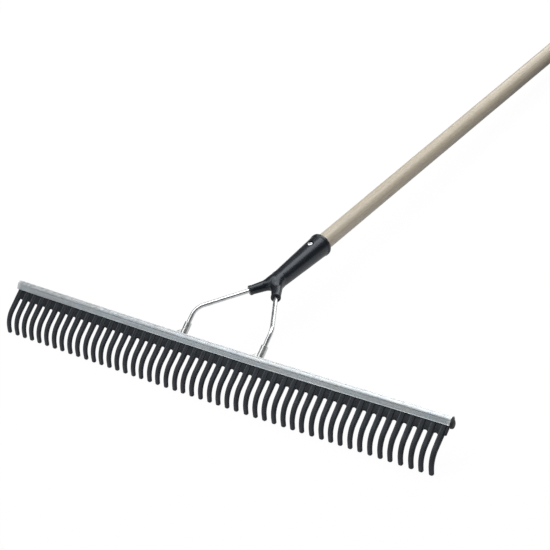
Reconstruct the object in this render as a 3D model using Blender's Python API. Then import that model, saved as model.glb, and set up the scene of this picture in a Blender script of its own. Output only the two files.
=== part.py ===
# Rubber rake: a rubber comb held in a folded steel rail, carried by two bent
# steel rods in a forked plastic socket on a long wooden handle. Sizes in metres.
#
# Three frames are used. The floor frame has +Z up and the handle running
# away along +Y. The fork frame sits where the two fork rods would meet on the
# handle's centre line, with +Y up the handle. The head frame sits in the middle
# of the rail's rounded back, with +X along the rail, +Z towards the fork and
# +Y towards the rear of the head, where the tines curl to.
import math

import bmesh
import bpy
from mathutils import Matrix, Vector

# Clearance between pieces that rest on each other or fit in each other
FIT_GAP = 0.0003

# Comb: three moulded rubber sections, side by side in the rail
TINES_PER_SECTION = (16, 16, 17)
TINE_ROOT_WIDTH = 0.0066
TINE_TIP_WIDTH = 0.0044
TINE_THICKNESS = 0.0042
TINE_TIP_THICKNESS = 0.0036
TINE_STRAIGHT = 0.0243
TINE_BEND_RADIUS = 0.0210
TINE_BEND_ANGLE = math.radians(50.0)
TINE_HOOK = 0.0140
TINE_TIP_ROUNDING = 0.0018
WEB_THICKNESS = 0.0030
WEB_HEIGHT = 0.0128
GAP_CROWN_RADIUS = 0.0047
WEB_FOOT = 0.0005
SECTION_JOINT = 0.0006
BEAD_RADIUS = 0.0045

# Rail: steel strip folded round the comb's bead and closed on its web
RAIL_LENGTH = 0.750
RAIL_SHEET = 0.0010
RAIL_LIP_DEPTH = 0.0085
RAIL_LIP_LENGTH = 0.0012
COMB_INSET = 0.0036
COMB_RIGHT_MARGIN = 0.0042

# End cap in the rail's right end
CAP_HALF_WIDTH = 0.0056
CAP_HALF_HEIGHT = 0.0074
CAP_MIDDLE = -0.0020
CAP_FLANGE = 0.0010
CAP_NOSE = 0.0028
CAP_NOSE_TIP = 0.45
CAP_SPIGOT = 0.0100

# Head, as the fork carries it
HEAD_PITCH = math.radians(36.0)
BEND_ABOVE_RAIL = 0.0473

# Fork rods
ROD_RADIUS = 0.0030
ROD_SPLAY = math.radians(32.4)
ROD_REACH = 0.1245
ROD_INNER_END = 0.0140
ROD_BEND_RADIUS = 0.0120
ROD_DROP = 0.0015

# Brackets: a flat plate behind the rail with an eye rolled at its top
EYE_RADIUS = 0.0050
EYE_LENGTH = 0.0180
PLATE_THICKNESS = 0.0015
PLATE_LEFT = 0.0185
PLATE_RIGHT = 0.0125
PLATE_BELOW = 0.0060
PLATE_TOP_STEP = 0.0008
PLATE_CORNER = 0.0030
SHOULDER_REACH = 0.0145
SHOULDER_RISE = 0.0065
SHOULDER_BOW = 0.0010

# Blind rivets through the plate and the rail's rear wall
RIVET_RADIUS = 0.0016
RIVET_HEAD_RADIUS = 0.0033
RIVET_HEAD_HEIGHT = 0.0016
RIVET_TAIL_RADIUS = 0.0022
RIVET_TAIL_LENGTH = 0.0011
RIVET_OFFSETS = (-0.0125, 0.0065)

# Handle
HANDLE_RADIUS = 0.0140
HANDLE_NECK_RADIUS = 0.0125
HANDLE_NECK = 0.1200
HANDLE_FULL = 0.9000
HANDLE_LENGTH = 1.500
HANDLE_FOOT = 0.0140
HANDLE_FOOT_RADIUS = 0.0098
HANDLE_TAPER_END = 0.0560
HANDLE_END_ROUNDING = 0.0060

# Forked socket
SOCKET_RIM = 0.1080
SOCKET_RIM_RADIUS = 0.0178
SOCKET_RIM_WIDTH = 0.0050
SOCKET_TOP_RADIUS = 0.0170
SOCKET_FOOT_RADIUS = 0.0123
SOCKET_FOOT = 0.0040
SOCKET_NOSE = 0.0120
SLEEVE_REACH = 0.0434
SLEEVE_ROOT_RADIUS = 0.0078
SLEEVE_RADIUS = 0.0062
SLEEVE_COLLAR_RADIUS = 0.0066
SLEEVE_COLLAR = 0.0045
CROTCH_FILLET = 0.0080
CROTCH_THICKNESS = 0.0060

# Screw that locks the handle in the socket
SCREW_FROM_RIM = 0.0256
SCREW_RADIUS = 0.0020
SCREW_LENGTH = 0.0150
SCREW_HEAD_RADIUS = 0.0041
SCREW_HEAD_HEIGHT = 0.0020
SCREW_RECESS_RADIUS = 0.0050
SCREW_RECESS_DEPTH = 0.0018

# Roundness of the meshes
BEAD_SIDES = 16
CROWN_SIDES = 16
BEND_STEPS = 5
ROUND_SIDES = 24
SLIM_SIDES = 16
HANDLE_SIDES = 32

# Colours: base colour, roughness, metallic
FINISHES = {
    "zinc_sheet": ((0.46, 0.49, 0.49), 0.45, 1.0),
    "bracket_steel": ((0.42, 0.43, 0.42), 0.40, 1.0),
    "bright_zinc": ((0.70, 0.71, 0.72), 0.22, 1.0),
    "comb_rubber": ((0.022, 0.024, 0.028), 0.55, 0.0),
    "cap_rubber": ((0.035, 0.035, 0.036), 0.60, 0.0),
    "socket_plastic": ((0.018, 0.022, 0.030), 0.28, 0.0),
    "ash_wood": ((0.52, 0.45, 0.35), 0.55, 0.0),
}

# Sizes that follow from the ones above
BULB_MID_RADIUS = BEAD_RADIUS + FIT_GAP + RAIL_SHEET / 2
BULB_OUTER_RADIUS = BULB_MID_RADIUS + RAIL_SHEET / 2
LIP_MID = WEB_THICKNESS / 2 + FIT_GAP + RAIL_SHEET / 2
LIP_TURN_DEPTH = RAIL_LIP_DEPTH - RAIL_LIP_LENGTH
TINE_TOP = -(RAIL_LIP_DEPTH + FIT_GAP)
CROWN_TOP = -(RAIL_LIP_DEPTH + WEB_HEIGHT)
TINE_GAPS = sum(TINES_PER_SECTION) - 1
SECTION_JOINTS = SECTION_JOINT * (len(TINES_PER_SECTION) - 1)
TINE_SPAN = RAIL_LENGTH - COMB_INSET - COMB_RIGHT_MARGIN - TINE_ROOT_WIDTH - SECTION_JOINTS
TINE_PITCH = TINE_SPAN / TINE_GAPS
CROWN_CENTRE = CROWN_TOP - GAP_CROWN_RADIUS
PLATE_FRONT = BULB_OUTER_RADIUS + FIT_GAP
PLATE_BACK = PLATE_FRONT + PLATE_THICKNESS
EYE_AXIS = PLATE_FRONT + PLATE_THICKNESS / 2
EYE_FOOT = BULB_OUTER_RADIUS + FIT_GAP
ROD_BORE = ROD_RADIUS + FIT_GAP
ROD_X = ROD_REACH * math.sin(ROD_SPLAY)
ROD_FOOT = EYE_FOOT + FIT_GAP
SCREW_Y = SOCKET_RIM - SCREW_FROM_RIM


def clear_scene():
    for obj in list(bpy.data.objects):
        bpy.data.objects.remove(obj, do_unlink=True)


def finish(name):
    mat = bpy.data.materials.get(name)
    if mat:
        return mat
    colour, roughness, metallic = FINISHES[name]
    mat = bpy.data.materials.new(name)
    mat.use_nodes = True
    shader = mat.node_tree.nodes["Principled BSDF"]
    shader.inputs["Base Color"].default_value = (*colour, 1.0)
    shader.inputs["Roughness"].default_value = roughness
    shader.inputs["Metallic"].default_value = metallic
    mat.diffuse_color = (*colour, 1.0)
    return mat


def link(obj, parent, location=(0, 0, 0), rotation=(0, 0, 0)):
    bpy.context.scene.collection.objects.link(obj)
    obj.parent = parent
    obj.location = location
    obj.rotation_euler = rotation
    return obj


def empty(name, parent=None, location=(0, 0, 0), rotation=(0, 0, 0)):
    return link(bpy.data.objects.new(name, None), parent, location, rotation)


def piece(name, bm, parent, finish_name, location=(0, 0, 0), rotation=(0, 0, 0)):
    bmesh.ops.recalc_face_normals(bm, faces=bm.faces[:])
    mesh = bpy.data.meshes.new(name)
    bm.to_mesh(mesh)
    bm.free()
    mesh.shade_smooth()
    mesh.set_sharp_from_angle(angle=math.radians(35))
    if finish_name:
        mesh.materials.append(finish(finish_name))
    return link(bpy.data.objects.new(name, mesh), parent, location, rotation)


def guide(name, bm, parent, location=(0, 0, 0), rotation=(0, 0, 0)):
    """A hidden solid that shapes another piece."""
    obj = piece(name, bm, parent, None, location, rotation)
    obj.hide_render = True
    obj.display_type = "WIRE"
    return obj


def combine(obj, other, operation):
    mod = obj.modifiers.new(operation.lower(), "BOOLEAN")
    mod.operation = operation
    mod.solver = "EXACT"
    mod.object = other


def add_loft(bm, rings):
    """Skin a row of equal rings and close both ends."""
    rows = [[bm.verts.new(p) for p in ring] for ring in rings]
    count = len(rows[0])
    for low, high in zip(rows, rows[1:]):
        for i in range(count):
            j = (i + 1) % count
            bm.faces.new((low[i], low[j], high[j], high[i]))
    bm.faces.new(rows[0])
    bm.faces.new(rows[-1])


def loft(rings):
    bm = bmesh.new()
    add_loft(bm, rings)
    return bm


def turned(profile, sides, to_point):
    """Turn (radius, distance) pairs round an axis; to_point places each point."""
    rings = []
    for radius, distance in profile:
        ring = []
        for i in range(sides):
            turn = 2 * math.pi * (i + 0.5) / sides
            ring.append(to_point(radius * math.cos(turn), radius * math.sin(turn), distance))
        rings.append(ring)
    return loft(rings)


def along_y(a, b, distance):
    return (a, distance, b)


def along_z(a, b, distance):
    return (a, b, distance)


def extruded(outline, to_point, start, end):
    """Extrude a flat outline of (a, b) pairs from start to end."""
    return loft([[to_point(a, b, start) for a, b in outline],
                 [to_point(a, b, end) for a, b in outline]])


def profile_along_x(a, b, distance):
    return (distance, a, b)


def arc(centre, radius, start, end, steps):
    points = []
    for i in range(steps + 1):
        turn = start + (end - start) * i / steps
        points.append((centre[0] + radius * math.cos(turn), centre[1] + radius * math.sin(turn)))
    return points


# Rail

def bulb_tangent(mid_radius, lip_half, turn_depth):
    """Angle on the bulb, measured from +Y, where the rear flank leaves it."""
    lip_angle = math.atan2(-turn_depth, lip_half)
    return lip_angle + math.acos(mid_radius / math.hypot(lip_half, turn_depth))


def rail_mid_line():
    """The strip's middle line in (y, z), from the front lip over the bulb to the rear lip."""
    tangent = bulb_tangent(BULB_MID_RADIUS, LIP_MID, LIP_TURN_DEPTH)
    over_top = arc((0, 0), BULB_MID_RADIUS, math.pi - tangent, tangent, BEAD_SIDES)
    front = [(-LIP_MID, -RAIL_LIP_DEPTH), (-LIP_MID, -LIP_TURN_DEPTH)]
    rear = [(LIP_MID, -LIP_TURN_DEPTH), (LIP_MID, -RAIL_LIP_DEPTH)]
    return front + over_top + rear


def offset_line(points, distance):
    """Shift an open line sideways to its left by distance, with mitred corners."""
    shifted = []
    last = len(points) - 1
    for i, point in enumerate(points):
        here = Vector(point)
        before = (here - Vector(points[i - 1])).normalized() if i > 0 else None
        after = (Vector(points[i + 1]) - here).normalized() if i < last else None
        before = before or after
        after = after or before
        left = Vector((-before.y, before.x)) + Vector((-after.y, after.x))
        left.normalize()
        mitre = distance / left.dot(Vector((-before.y, before.x)))
        shifted.append((here.x + left.x * mitre, here.y + left.y * mitre))
    return shifted


def make_rail(head):
    middle = rail_mid_line()
    outline = offset_line(middle, RAIL_SHEET / 2) + offset_line(middle, -RAIL_SHEET / 2)[::-1]
    bm = extruded(outline, profile_along_x, -RAIL_LENGTH / 2, RAIL_LENGTH / 2)
    rail = piece("rail", bm, head, "zinc_sheet")
    combine(rail, rivet_guide(head, "rail_rivet_holes", RIVET_RADIUS + FIT_GAP), "DIFFERENCE")
    return rail


def rivet_places():
    places = []
    for side, label in ((-1, "left"), (1, "right")):
        for offset, end in zip(RIVET_OFFSETS, ("a", "b")):
            places.append((label + "_" + end, side * ROD_X + offset))
    return places


def rivet_guide(head, name, radius, inner=None):
    """Four short bars along Y that cut the rivet holes or the rivets' pockets."""
    inner = BEAD_RADIUS - RIVET_TAIL_LENGTH * 2 if inner is None else inner
    bm = bmesh.new()
    for _, x in rivet_places():
        rings = []
        for y in (inner, PLATE_BACK + RIVET_HEAD_HEIGHT):
            turns = [2 * math.pi * (i + 0.5) / SLIM_SIDES for i in range(SLIM_SIDES)]
            rings.append([(x + radius * math.cos(t), y, radius * math.sin(t)) for t in turns])
        add_loft(bm, rings)
    return guide(name, bm, head)


# Comb

def tine_centre(distance):
    """Point (y, z) and rearward direction on the tine's centre line below the crown."""
    start = CROWN_TOP - TINE_STRAIGHT
    if distance <= TINE_STRAIGHT:
        return Vector((0, CROWN_TOP - distance)), Vector((1, 0))
    bend = min((distance - TINE_STRAIGHT) / TINE_BEND_RADIUS, TINE_BEND_ANGLE)
    point = Vector((TINE_BEND_RADIUS * (1 - math.cos(bend)), start - TINE_BEND_RADIUS * math.sin(bend)))
    rest = distance - TINE_STRAIGHT - bend * TINE_BEND_RADIUS
    down = Vector((math.sin(bend), -math.cos(bend)))
    return point + down * rest, Vector((math.cos(bend), math.sin(bend)))


def tine_length():
    return TINE_STRAIGHT + TINE_BEND_RADIUS * TINE_BEND_ANGLE + TINE_HOOK


def tine_rings(x_middle):
    """Rings of a flat bar that runs from the rail's lips to the rounded tip."""
    length = tine_length()

    def ring(distance, half_width):
        centre, rear = tine_centre(distance)
        share = max(distance, 0) / length
        half = (TINE_THICKNESS + (TINE_TIP_THICKNESS - TINE_THICKNESS) * share) / 2
        corners = ((-1, -1), (1, -1), (1, 1), (-1, 1))
        return [(x_middle + a * half_width, centre.x + b * half * rear.x, centre.y + b * half * rear.y)
                for a, b in corners]

    def half_width(distance):
        share = max(distance, 0) / length
        return (TINE_ROOT_WIDTH + (TINE_TIP_WIDTH - TINE_ROOT_WIDTH) * share) / 2

    root = TINE_ROOT_WIDTH / 2
    rings = [ring(CROWN_TOP - TINE_TOP, root), ring(0, root)]
    for i in range(BEND_STEPS + 1):
        distance = TINE_STRAIGHT + TINE_BEND_RADIUS * TINE_BEND_ANGLE * i / BEND_STEPS
        rings.append(ring(distance, half_width(distance)))
    for turn in (0, math.pi / 4, math.pi / 2):
        distance = length - TINE_TIP_ROUNDING * (1 - math.sin(turn))
        narrowed = half_width(distance) - TINE_TIP_ROUNDING * (1 - math.cos(turn))
        rings.append(ring(distance, narrowed))
    return rings


def web_outline():
    """Keyhole outline of bead and web in (y, z)."""
    half = WEB_THICKNESS / 2
    neck = math.asin(half / BEAD_RADIUS)
    bead = arc((0, 0), BEAD_RADIUS, 1.5 * math.pi - neck, -0.5 * math.pi + neck, BEAD_SIDES)
    foot = CROWN_CENTRE + WEB_FOOT
    return [(-half, foot)] + bead + [(half, foot)]


def section_starts():
    """Left edge of each comb section along the rail."""
    x = -RAIL_LENGTH / 2 + COMB_INSET
    starts = []
    for count in TINES_PER_SECTION:
        starts.append(x)
        x += count * TINE_PITCH + SECTION_JOINT
    return starts


def make_comb_section(head, name, start, count, is_last):
    end = RAIL_LENGTH / 2 - FIT_GAP if is_last else start + count * TINE_PITCH
    web = extruded(web_outline(), profile_along_x, SECTION_JOINT, end - start)
    comb = piece(name, web, head, "comb_rubber", location=(start, 0, 0))

    crowns = bmesh.new()
    for i in range(count):
        middle = TINE_ROOT_WIDTH / 2 + (i + 0.5) * TINE_PITCH
        turns = [2 * math.pi * k / CROWN_SIDES for k in range(CROWN_SIDES)]
        rings = []
        for y in (-TINE_THICKNESS, TINE_THICKNESS):
            rings.append([(middle + GAP_CROWN_RADIUS * math.cos(t), y,
                           CROWN_CENTRE + GAP_CROWN_RADIUS * math.sin(t)) for t in turns])
        add_loft(crowns, rings)
    combine(comb, guide(name + "_crowns", crowns, head, (start, 0, 0)), "DIFFERENCE")

    tines = bmesh.new()
    for i in range(count):
        add_loft(tines, tine_rings(TINE_ROOT_WIDTH / 2 + i * TINE_PITCH))
    combine(comb, guide(name + "_tines", tines, head, (start, 0, 0)), "UNION")
    return comb


def make_comb(head):
    names = ("comb_left", "comb_middle", "comb_right")
    starts = section_starts()
    sections = {}
    for name, start, count in zip(names, starts, TINES_PER_SECTION):
        sections[name] = make_comb_section(head, name, start, count, name == names[-1])
    ends = starts[1:] + [RAIL_LENGTH / 2]
    pocket = RIVET_TAIL_RADIUS + FIT_GAP
    floor = BEAD_RADIUS - 2 * RIVET_TAIL_LENGTH - FIT_GAP
    pockets = rivet_guide(head, "rivet_pockets", pocket, floor)
    for name, start, end in zip(names, starts, ends):
        if any(start < x + pocket and x - pocket < end for _, x in rivet_places()):
            combine(sections[name], pockets, "DIFFERENCE")
    trim = bmesh.new()
    bmesh.ops.create_cube(trim, size=1.0)
    depth = CAP_SPIGOT + FIT_GAP
    side = 2 * (BEAD_RADIUS + FIT_GAP)
    bmesh.ops.scale(trim, vec=(2 * depth, side, side), verts=trim.verts[:])
    cutter = guide("bead_trim", trim, head, (RAIL_LENGTH / 2, 0, 0))
    combine(sections[names[-1]], cutter, "DIFFERENCE")


# End cap

def make_end_cap(head):
    turns = [2 * math.pi * (i + 0.5) / ROUND_SIDES for i in range(ROUND_SIDES)]
    low = CAP_MIDDLE
    edge = [(CAP_HALF_WIDTH * math.cos(t), low + CAP_HALF_HEIGHT * math.sin(t)) for t in turns]
    spigot = [(BEAD_RADIUS * math.cos(t), BEAD_RADIUS * math.sin(t)) for t in turns]
    face = FIT_GAP
    rings = [[(x, y, z) for y, z in spigot] for x in (face - CAP_SPIGOT, face)]
    rings.append([(face, y, z) for y, z in edge])
    nose_start = face + CAP_FLANGE
    steps = 6
    for i in range(steps + 1):
        turn = 0.5 * math.pi * i / steps
        share = CAP_NOSE_TIP + (1 - CAP_NOSE_TIP) * math.cos(turn)
        x = nose_start + CAP_NOSE * math.sin(turn)
        rings.append([(x, y * share, low + (z - low) * share) for y, z in edge])
    return piece("rail_end_cap", loft(rings), head, "cap_rubber", (RAIL_LENGTH / 2, 0, 0))


# Brackets and rivets

def plate_outline():
    """The plate's edge in (x, z), seen from behind, with x from the eye's axis."""
    crest = BULB_OUTER_RADIUS
    top = crest - PLATE_TOP_STEP
    wall = -(EYE_RADIUS + ROD_BORE) / 2
    corner = PLATE_CORNER
    outline = arc((-PLATE_LEFT + corner, -PLATE_BELOW + corner), corner, math.pi, 1.5 * math.pi, 3)
    outline += arc((PLATE_RIGHT - corner, -PLATE_BELOW + corner), corner, -0.5 * math.pi, 0, 3)
    outline += arc((PLATE_RIGHT - corner, top - corner), corner, 0, 0.5 * math.pi, 3)
    outline.append((wall, top))
    start = Vector((wall, crest + SHOULDER_RISE))
    end = Vector((-SHOULDER_REACH, crest))
    across = Vector((start.y - end.y, end.x - start.x)).normalized() * -1
    steps = 5
    for i in range(steps + 1):
        share = i / steps
        bow = 4 * SHOULDER_BOW * share * (1 - share)
        point = start.lerp(end, share) + across * bow
        outline.append((point.x, point.y))
    outline.append((-PLATE_LEFT, top - corner))
    return outline


def make_bracket(head, label, x):
    plate = extruded(plate_outline(), lambda a, b, y: (a, y, b), PLATE_FRONT - EYE_AXIS,
                     PLATE_BACK - EYE_AXIS)
    bracket = piece("bracket_" + label, plate, head, "bracket_steel", (x, EYE_AXIS, 0))
    tube = turned([(EYE_RADIUS, EYE_FOOT), (EYE_RADIUS, EYE_FOOT + EYE_LENGTH)], ROUND_SIDES, along_z)
    combine(bracket, guide("eye_" + label, tube, head, (x, EYE_AXIS, 0)), "UNION")
    notch = EYE_FOOT - PLATE_TOP_STEP - PLATE_CORNER / 2
    bore = turned([(ROD_BORE, notch), (ROD_BORE, EYE_FOOT + EYE_LENGTH + ROD_RADIUS)], ROUND_SIDES, along_z)
    combine(bracket, guide("eye_bore_" + label, bore, head, (x, EYE_AXIS, 0)), "DIFFERENCE")
    return bracket


def make_brackets(head):
    holes = rivet_guide(head, "plate_rivet_holes", RIVET_RADIUS + FIT_GAP)
    for side, label in ((-1, "left"), (1, "right")):
        combine(make_bracket(head, label, side * ROD_X), holes, "DIFFERENCE")


def make_rivets(head):
    wall = math.sqrt((BULB_MID_RADIUS - RAIL_SHEET / 2) ** 2 - RIVET_TAIL_RADIUS ** 2)
    tail = wall - FIT_GAP
    seat = PLATE_BACK + FIT_GAP
    profile = [(RIVET_TAIL_RADIUS * 0.8, tail - RIVET_TAIL_LENGTH),
               (RIVET_TAIL_RADIUS, tail - RIVET_TAIL_LENGTH * 0.6),
               (RIVET_TAIL_RADIUS, tail), (RIVET_RADIUS, tail), (RIVET_RADIUS, seat),
               (RIVET_HEAD_RADIUS, seat), (RIVET_HEAD_RADIUS, seat + RIVET_HEAD_HEIGHT * 0.3),
               (RIVET_HEAD_RADIUS * 0.75, seat + RIVET_HEAD_HEIGHT * 0.8),
               (RIVET_HEAD_RADIUS * 0.4, seat + RIVET_HEAD_HEIGHT)]
    for label, x in rivet_places():
        piece("rivet_" + label, turned(profile, SLIM_SIDES, along_y), head, "bright_zinc", (x, 0, 0))


# Fork rods

def rod_corner(side):
    """Where the rod's two straight stretches would meet, in the fork frame."""
    return Vector((side * ROD_X, -ROD_REACH * math.cos(ROD_SPLAY), -ROD_DROP))


def make_rod(fork, label, side):
    corner = rod_corner(side)
    outward = Vector((side * math.sin(ROD_SPLAY), -math.cos(ROD_SPLAY), 0))
    down = Vector((0, -math.cos(HEAD_PITCH), -math.sin(HEAD_PITCH)))
    turn = outward.angle(down)
    setback = ROD_BEND_RADIUS * math.tan(turn / 2)
    points = [-outward * (ROD_REACH - ROD_INNER_END)]
    inward = (down - outward).normalized()
    centre = inward * (ROD_BEND_RADIUS / math.cos(turn / 2))
    first = -outward * setback - centre
    axis = outward.cross(down).normalized()
    steps = 8
    for i in range(steps + 1):
        points.append(centre + Matrix.Rotation(turn * i / steps, 3, axis) @ first)
    points.append(down * (BEND_ABOVE_RAIL - ROD_FOOT))
    curve = bpy.data.curves.new("fork_rod_" + label, "CURVE")
    curve.dimensions = "3D"
    curve.bevel_depth = ROD_RADIUS
    curve.bevel_resolution = 6
    curve.use_fill_caps = True
    spline = curve.splines.new("POLY")
    spline.points.add(len(points) - 1)
    for place, point in zip(spline.points, points):
        place.co = (*point, 1.0)
    curve.materials.append(finish("bright_zinc"))
    link(bpy.data.objects.new("fork_rod_" + label, curve), fork, corner)


# Handle

def make_handle(fork):
    end = HANDLE_FOOT + HANDLE_LENGTH
    profile = [(HANDLE_FOOT_RADIUS, HANDLE_FOOT), (HANDLE_NECK_RADIUS, HANDLE_TAPER_END),
               (HANDLE_NECK_RADIUS, HANDLE_NECK), (HANDLE_RADIUS, HANDLE_FULL)]
    steps = 6
    for i in range(steps + 1):
        turn = 0.5 * math.pi * i / steps
        profile.append((HANDLE_RADIUS - HANDLE_END_ROUNDING * (1 - math.cos(turn)),
                        end - HANDLE_END_ROUNDING * (1 - math.sin(turn))))
    handle = piece("handle", turned(profile, HANDLE_SIDES, along_y), fork, "ash_wood")
    hole = SCREW_RADIUS + FIT_GAP
    floor = screw_seat() - SCREW_LENGTH - FIT_GAP
    drill = turned([(hole, floor), (hole, 2 * HANDLE_RADIUS)], SLIM_SIDES, along_z)
    combine(handle, guide("handle_screw_hole", drill, fork, (0, SCREW_Y, 0)), "DIFFERENCE")


# Forked socket

def socket_radius(y):
    share = (y + SOCKET_FOOT) / (SOCKET_RIM - SOCKET_RIM_WIDTH + SOCKET_FOOT)
    return SOCKET_FOOT_RADIUS + (SOCKET_TOP_RADIUS - SOCKET_FOOT_RADIUS) * share


def screw_seat():
    """Height of the recess floor above the handle's centre line."""
    return socket_radius(SCREW_Y) - SCREW_RECESS_DEPTH


def socket_body():
    profile = []
    steps = 4
    for i in range(steps, -1, -1):
        turn = 0.5 * math.pi * i / (steps + 1)
        profile.append((SOCKET_FOOT_RADIUS * math.cos(turn), -SOCKET_FOOT - SOCKET_NOSE * math.sin(turn)))
    lip = SOCKET_RIM_RADIUS - SOCKET_TOP_RADIUS
    profile += [(SOCKET_TOP_RADIUS, SOCKET_RIM - SOCKET_RIM_WIDTH),
                (SOCKET_RIM_RADIUS, SOCKET_RIM - SOCKET_RIM_WIDTH + lip),
                (SOCKET_RIM_RADIUS, SOCKET_RIM - lip),
                (SOCKET_RIM_RADIUS - lip, SOCKET_RIM)]
    return turned(profile, HANDLE_SIDES, along_y)


def sleeve_guide(fork, name, side, profile):
    """A turned solid along one fork rod, with distances from where the rods would meet."""
    bm = turned(profile, ROUND_SIDES, lambda a, b, distance: (a, -distance, b))
    return guide(name, bm, fork, (0, 0, -ROD_DROP), (0, 0, side * ROD_SPLAY))


def crotch_outline():
    """Flat web between the sleeves, with a round inner edge, in (x, y)."""
    centre = -(SLEEVE_RADIUS + CROTCH_FILLET) / math.sin(ROD_SPLAY)
    along = -centre * math.cos(ROD_SPLAY)
    side_x = along * math.sin(ROD_SPLAY)
    side_y = -along * math.cos(ROD_SPLAY)
    rounded = arc((0, centre), CROTCH_FILLET, math.pi - ROD_SPLAY, ROD_SPLAY, 10)
    return [(-side_x, side_y)] + rounded + [(side_x, side_y), (0, 0)]


def make_socket(fork):
    socket = piece("fork_socket", socket_body(), fork, "socket_plastic")
    edge = SLEEVE_COLLAR_RADIUS - SLEEVE_RADIUS
    collar = SLEEVE_REACH - SLEEVE_COLLAR
    sleeve = [(SLEEVE_ROOT_RADIUS, 0), (SLEEVE_ROOT_RADIUS, SLEEVE_ROOT_RADIUS), (SLEEVE_RADIUS, collar),
              (SLEEVE_COLLAR_RADIUS, collar + edge), (SLEEVE_COLLAR_RADIUS, SLEEVE_REACH - edge),
              (SLEEVE_RADIUS, SLEEVE_REACH)]
    bore = [(ROD_BORE, ROD_INNER_END - FIT_GAP), (ROD_BORE, SLEEVE_REACH + ROD_RADIUS)]
    sides = ((-1, "left"), (1, "right"))
    for side, label in sides:
        combine(socket, sleeve_guide(fork, "sleeve_" + label, side, sleeve), "UNION")
    crotch = extruded(crotch_outline(), lambda a, b, z: (a, b, z), -CROTCH_THICKNESS / 2, CROTCH_THICKNESS / 2)
    combine(socket, guide("sleeve_crotch", crotch, fork, (0, 0, -ROD_DROP)), "UNION")
    for side, label in sides:
        combine(socket, sleeve_guide(fork, "sleeve_bore_" + label, side, bore), "DIFFERENCE")
    well = [(HANDLE_FOOT_RADIUS + FIT_GAP, HANDLE_FOOT - FIT_GAP),
            (HANDLE_NECK_RADIUS + FIT_GAP, HANDLE_TAPER_END - FIT_GAP),
            (HANDLE_NECK_RADIUS + FIT_GAP, SOCKET_RIM + HANDLE_NECK_RADIUS)]
    combine(socket, guide("handle_well", turned(well, HANDLE_SIDES, along_y), fork), "DIFFERENCE")
    seat = screw_seat()
    above = SOCKET_RIM_RADIUS + SCREW_HEAD_HEIGHT
    hole = SCREW_RADIUS + FIT_GAP
    drill = [(hole, 0), (hole, seat), (SCREW_RECESS_RADIUS, seat), (SCREW_RECESS_RADIUS, above)]
    drilled = guide("socket_screw_hole", turned(drill, SLIM_SIDES, along_z), fork, (0, SCREW_Y, 0))
    combine(socket, drilled, "DIFFERENCE")


def make_screw(fork):
    seat = screw_seat() + FIT_GAP
    tip = seat - SCREW_LENGTH
    profile = [(SCREW_RADIUS * 0.2, tip), (SCREW_RADIUS, tip + SCREW_RADIUS * 1.5), (SCREW_RADIUS, seat),
               (SCREW_HEAD_RADIUS, seat), (SCREW_HEAD_RADIUS, seat + SCREW_HEAD_HEIGHT * 0.45),
               (SCREW_HEAD_RADIUS * 0.8, seat + SCREW_HEAD_HEIGHT * 0.85),
               (SCREW_HEAD_RADIUS * 0.45, seat + SCREW_HEAD_HEIGHT)]
    piece("socket_screw", turned(profile, SLIM_SIDES, along_z), fork, "bright_zinc", (0, SCREW_Y, 0))


# Putting it together

def head_place():
    """Origin of the head frame, seen from the fork frame."""
    up = Vector((0, math.cos(HEAD_PITCH), math.sin(HEAD_PITCH)))
    rear = Vector((0, math.sin(HEAD_PITCH), -math.cos(HEAD_PITCH)))
    corner = rod_corner(0)
    corner.x = 0
    return corner - up * BEND_ABOVE_RAIL - rear * EYE_AXIS


def world_points(names):
    """Every corner of the named pieces, in the floor frame."""
    bpy.context.view_layer.update()
    graph = bpy.context.evaluated_depsgraph_get()
    points = []
    for name in names:
        obj = bpy.data.objects[name].evaluated_get(graph)
        mesh = obj.to_mesh()
        points += [obj.matrix_world @ v.co for v in mesh.vertices]
        obj.to_mesh_clear()
    return points


def rest_on_floor(fork, names):
    """Tilt the rake until tine tips and handle end touch the floor, then centre it."""
    for _ in range(3):
        tip = min(world_points(["comb_left", "comb_middle", "comb_right"]), key=lambda p: p.z)
        butt = min(world_points(["handle"]), key=lambda p: p.z)
        fork.rotation_euler.x -= math.atan2(butt.z - tip.z, butt.y - tip.y)
    points = world_points(names)
    low = Vector([min(p[i] for p in points) for i in range(3)])
    high = Vector([max(p[i] for p in points) for i in range(3)])
    fork.location = Vector((-(low.x + high.x) / 2, -(low.y + high.y) / 2, -low.z))


def build():
    clear_scene()
    fork = empty("fork_frame")
    head = empty("head_frame", fork, head_place(), (HEAD_PITCH - math.pi / 2, 0, 0))
    make_rail(head)
    make_comb(head)
    make_end_cap(head)
    make_brackets(head)
    make_rivets(head)
    make_rod(fork, "left", -1)
    make_rod(fork, "right", 1)
    make_handle(fork)
    make_socket(fork)
    make_screw(fork)
    names = [obj.name for obj in bpy.data.objects if obj.type != "EMPTY" and not obj.hide_render]
    rest_on_floor(fork, names)
    bpy.context.view_layer.update()


build()
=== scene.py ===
import math
import random

import bmesh
import bpy
import numpy as np
from mathutils import Matrix, Vector


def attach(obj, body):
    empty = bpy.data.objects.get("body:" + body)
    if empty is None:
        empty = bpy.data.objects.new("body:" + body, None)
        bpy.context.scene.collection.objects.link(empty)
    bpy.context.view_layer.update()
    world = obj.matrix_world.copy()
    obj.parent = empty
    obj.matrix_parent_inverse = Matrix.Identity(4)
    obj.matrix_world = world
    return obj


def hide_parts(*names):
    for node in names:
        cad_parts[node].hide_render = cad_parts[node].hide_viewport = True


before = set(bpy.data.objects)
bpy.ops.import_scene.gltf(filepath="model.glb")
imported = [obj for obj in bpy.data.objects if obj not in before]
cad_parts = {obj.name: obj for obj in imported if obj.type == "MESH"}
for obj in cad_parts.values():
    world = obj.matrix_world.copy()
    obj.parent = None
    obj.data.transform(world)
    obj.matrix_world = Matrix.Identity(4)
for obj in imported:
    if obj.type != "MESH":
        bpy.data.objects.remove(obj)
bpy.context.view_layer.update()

print("packed rake loaded")

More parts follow.
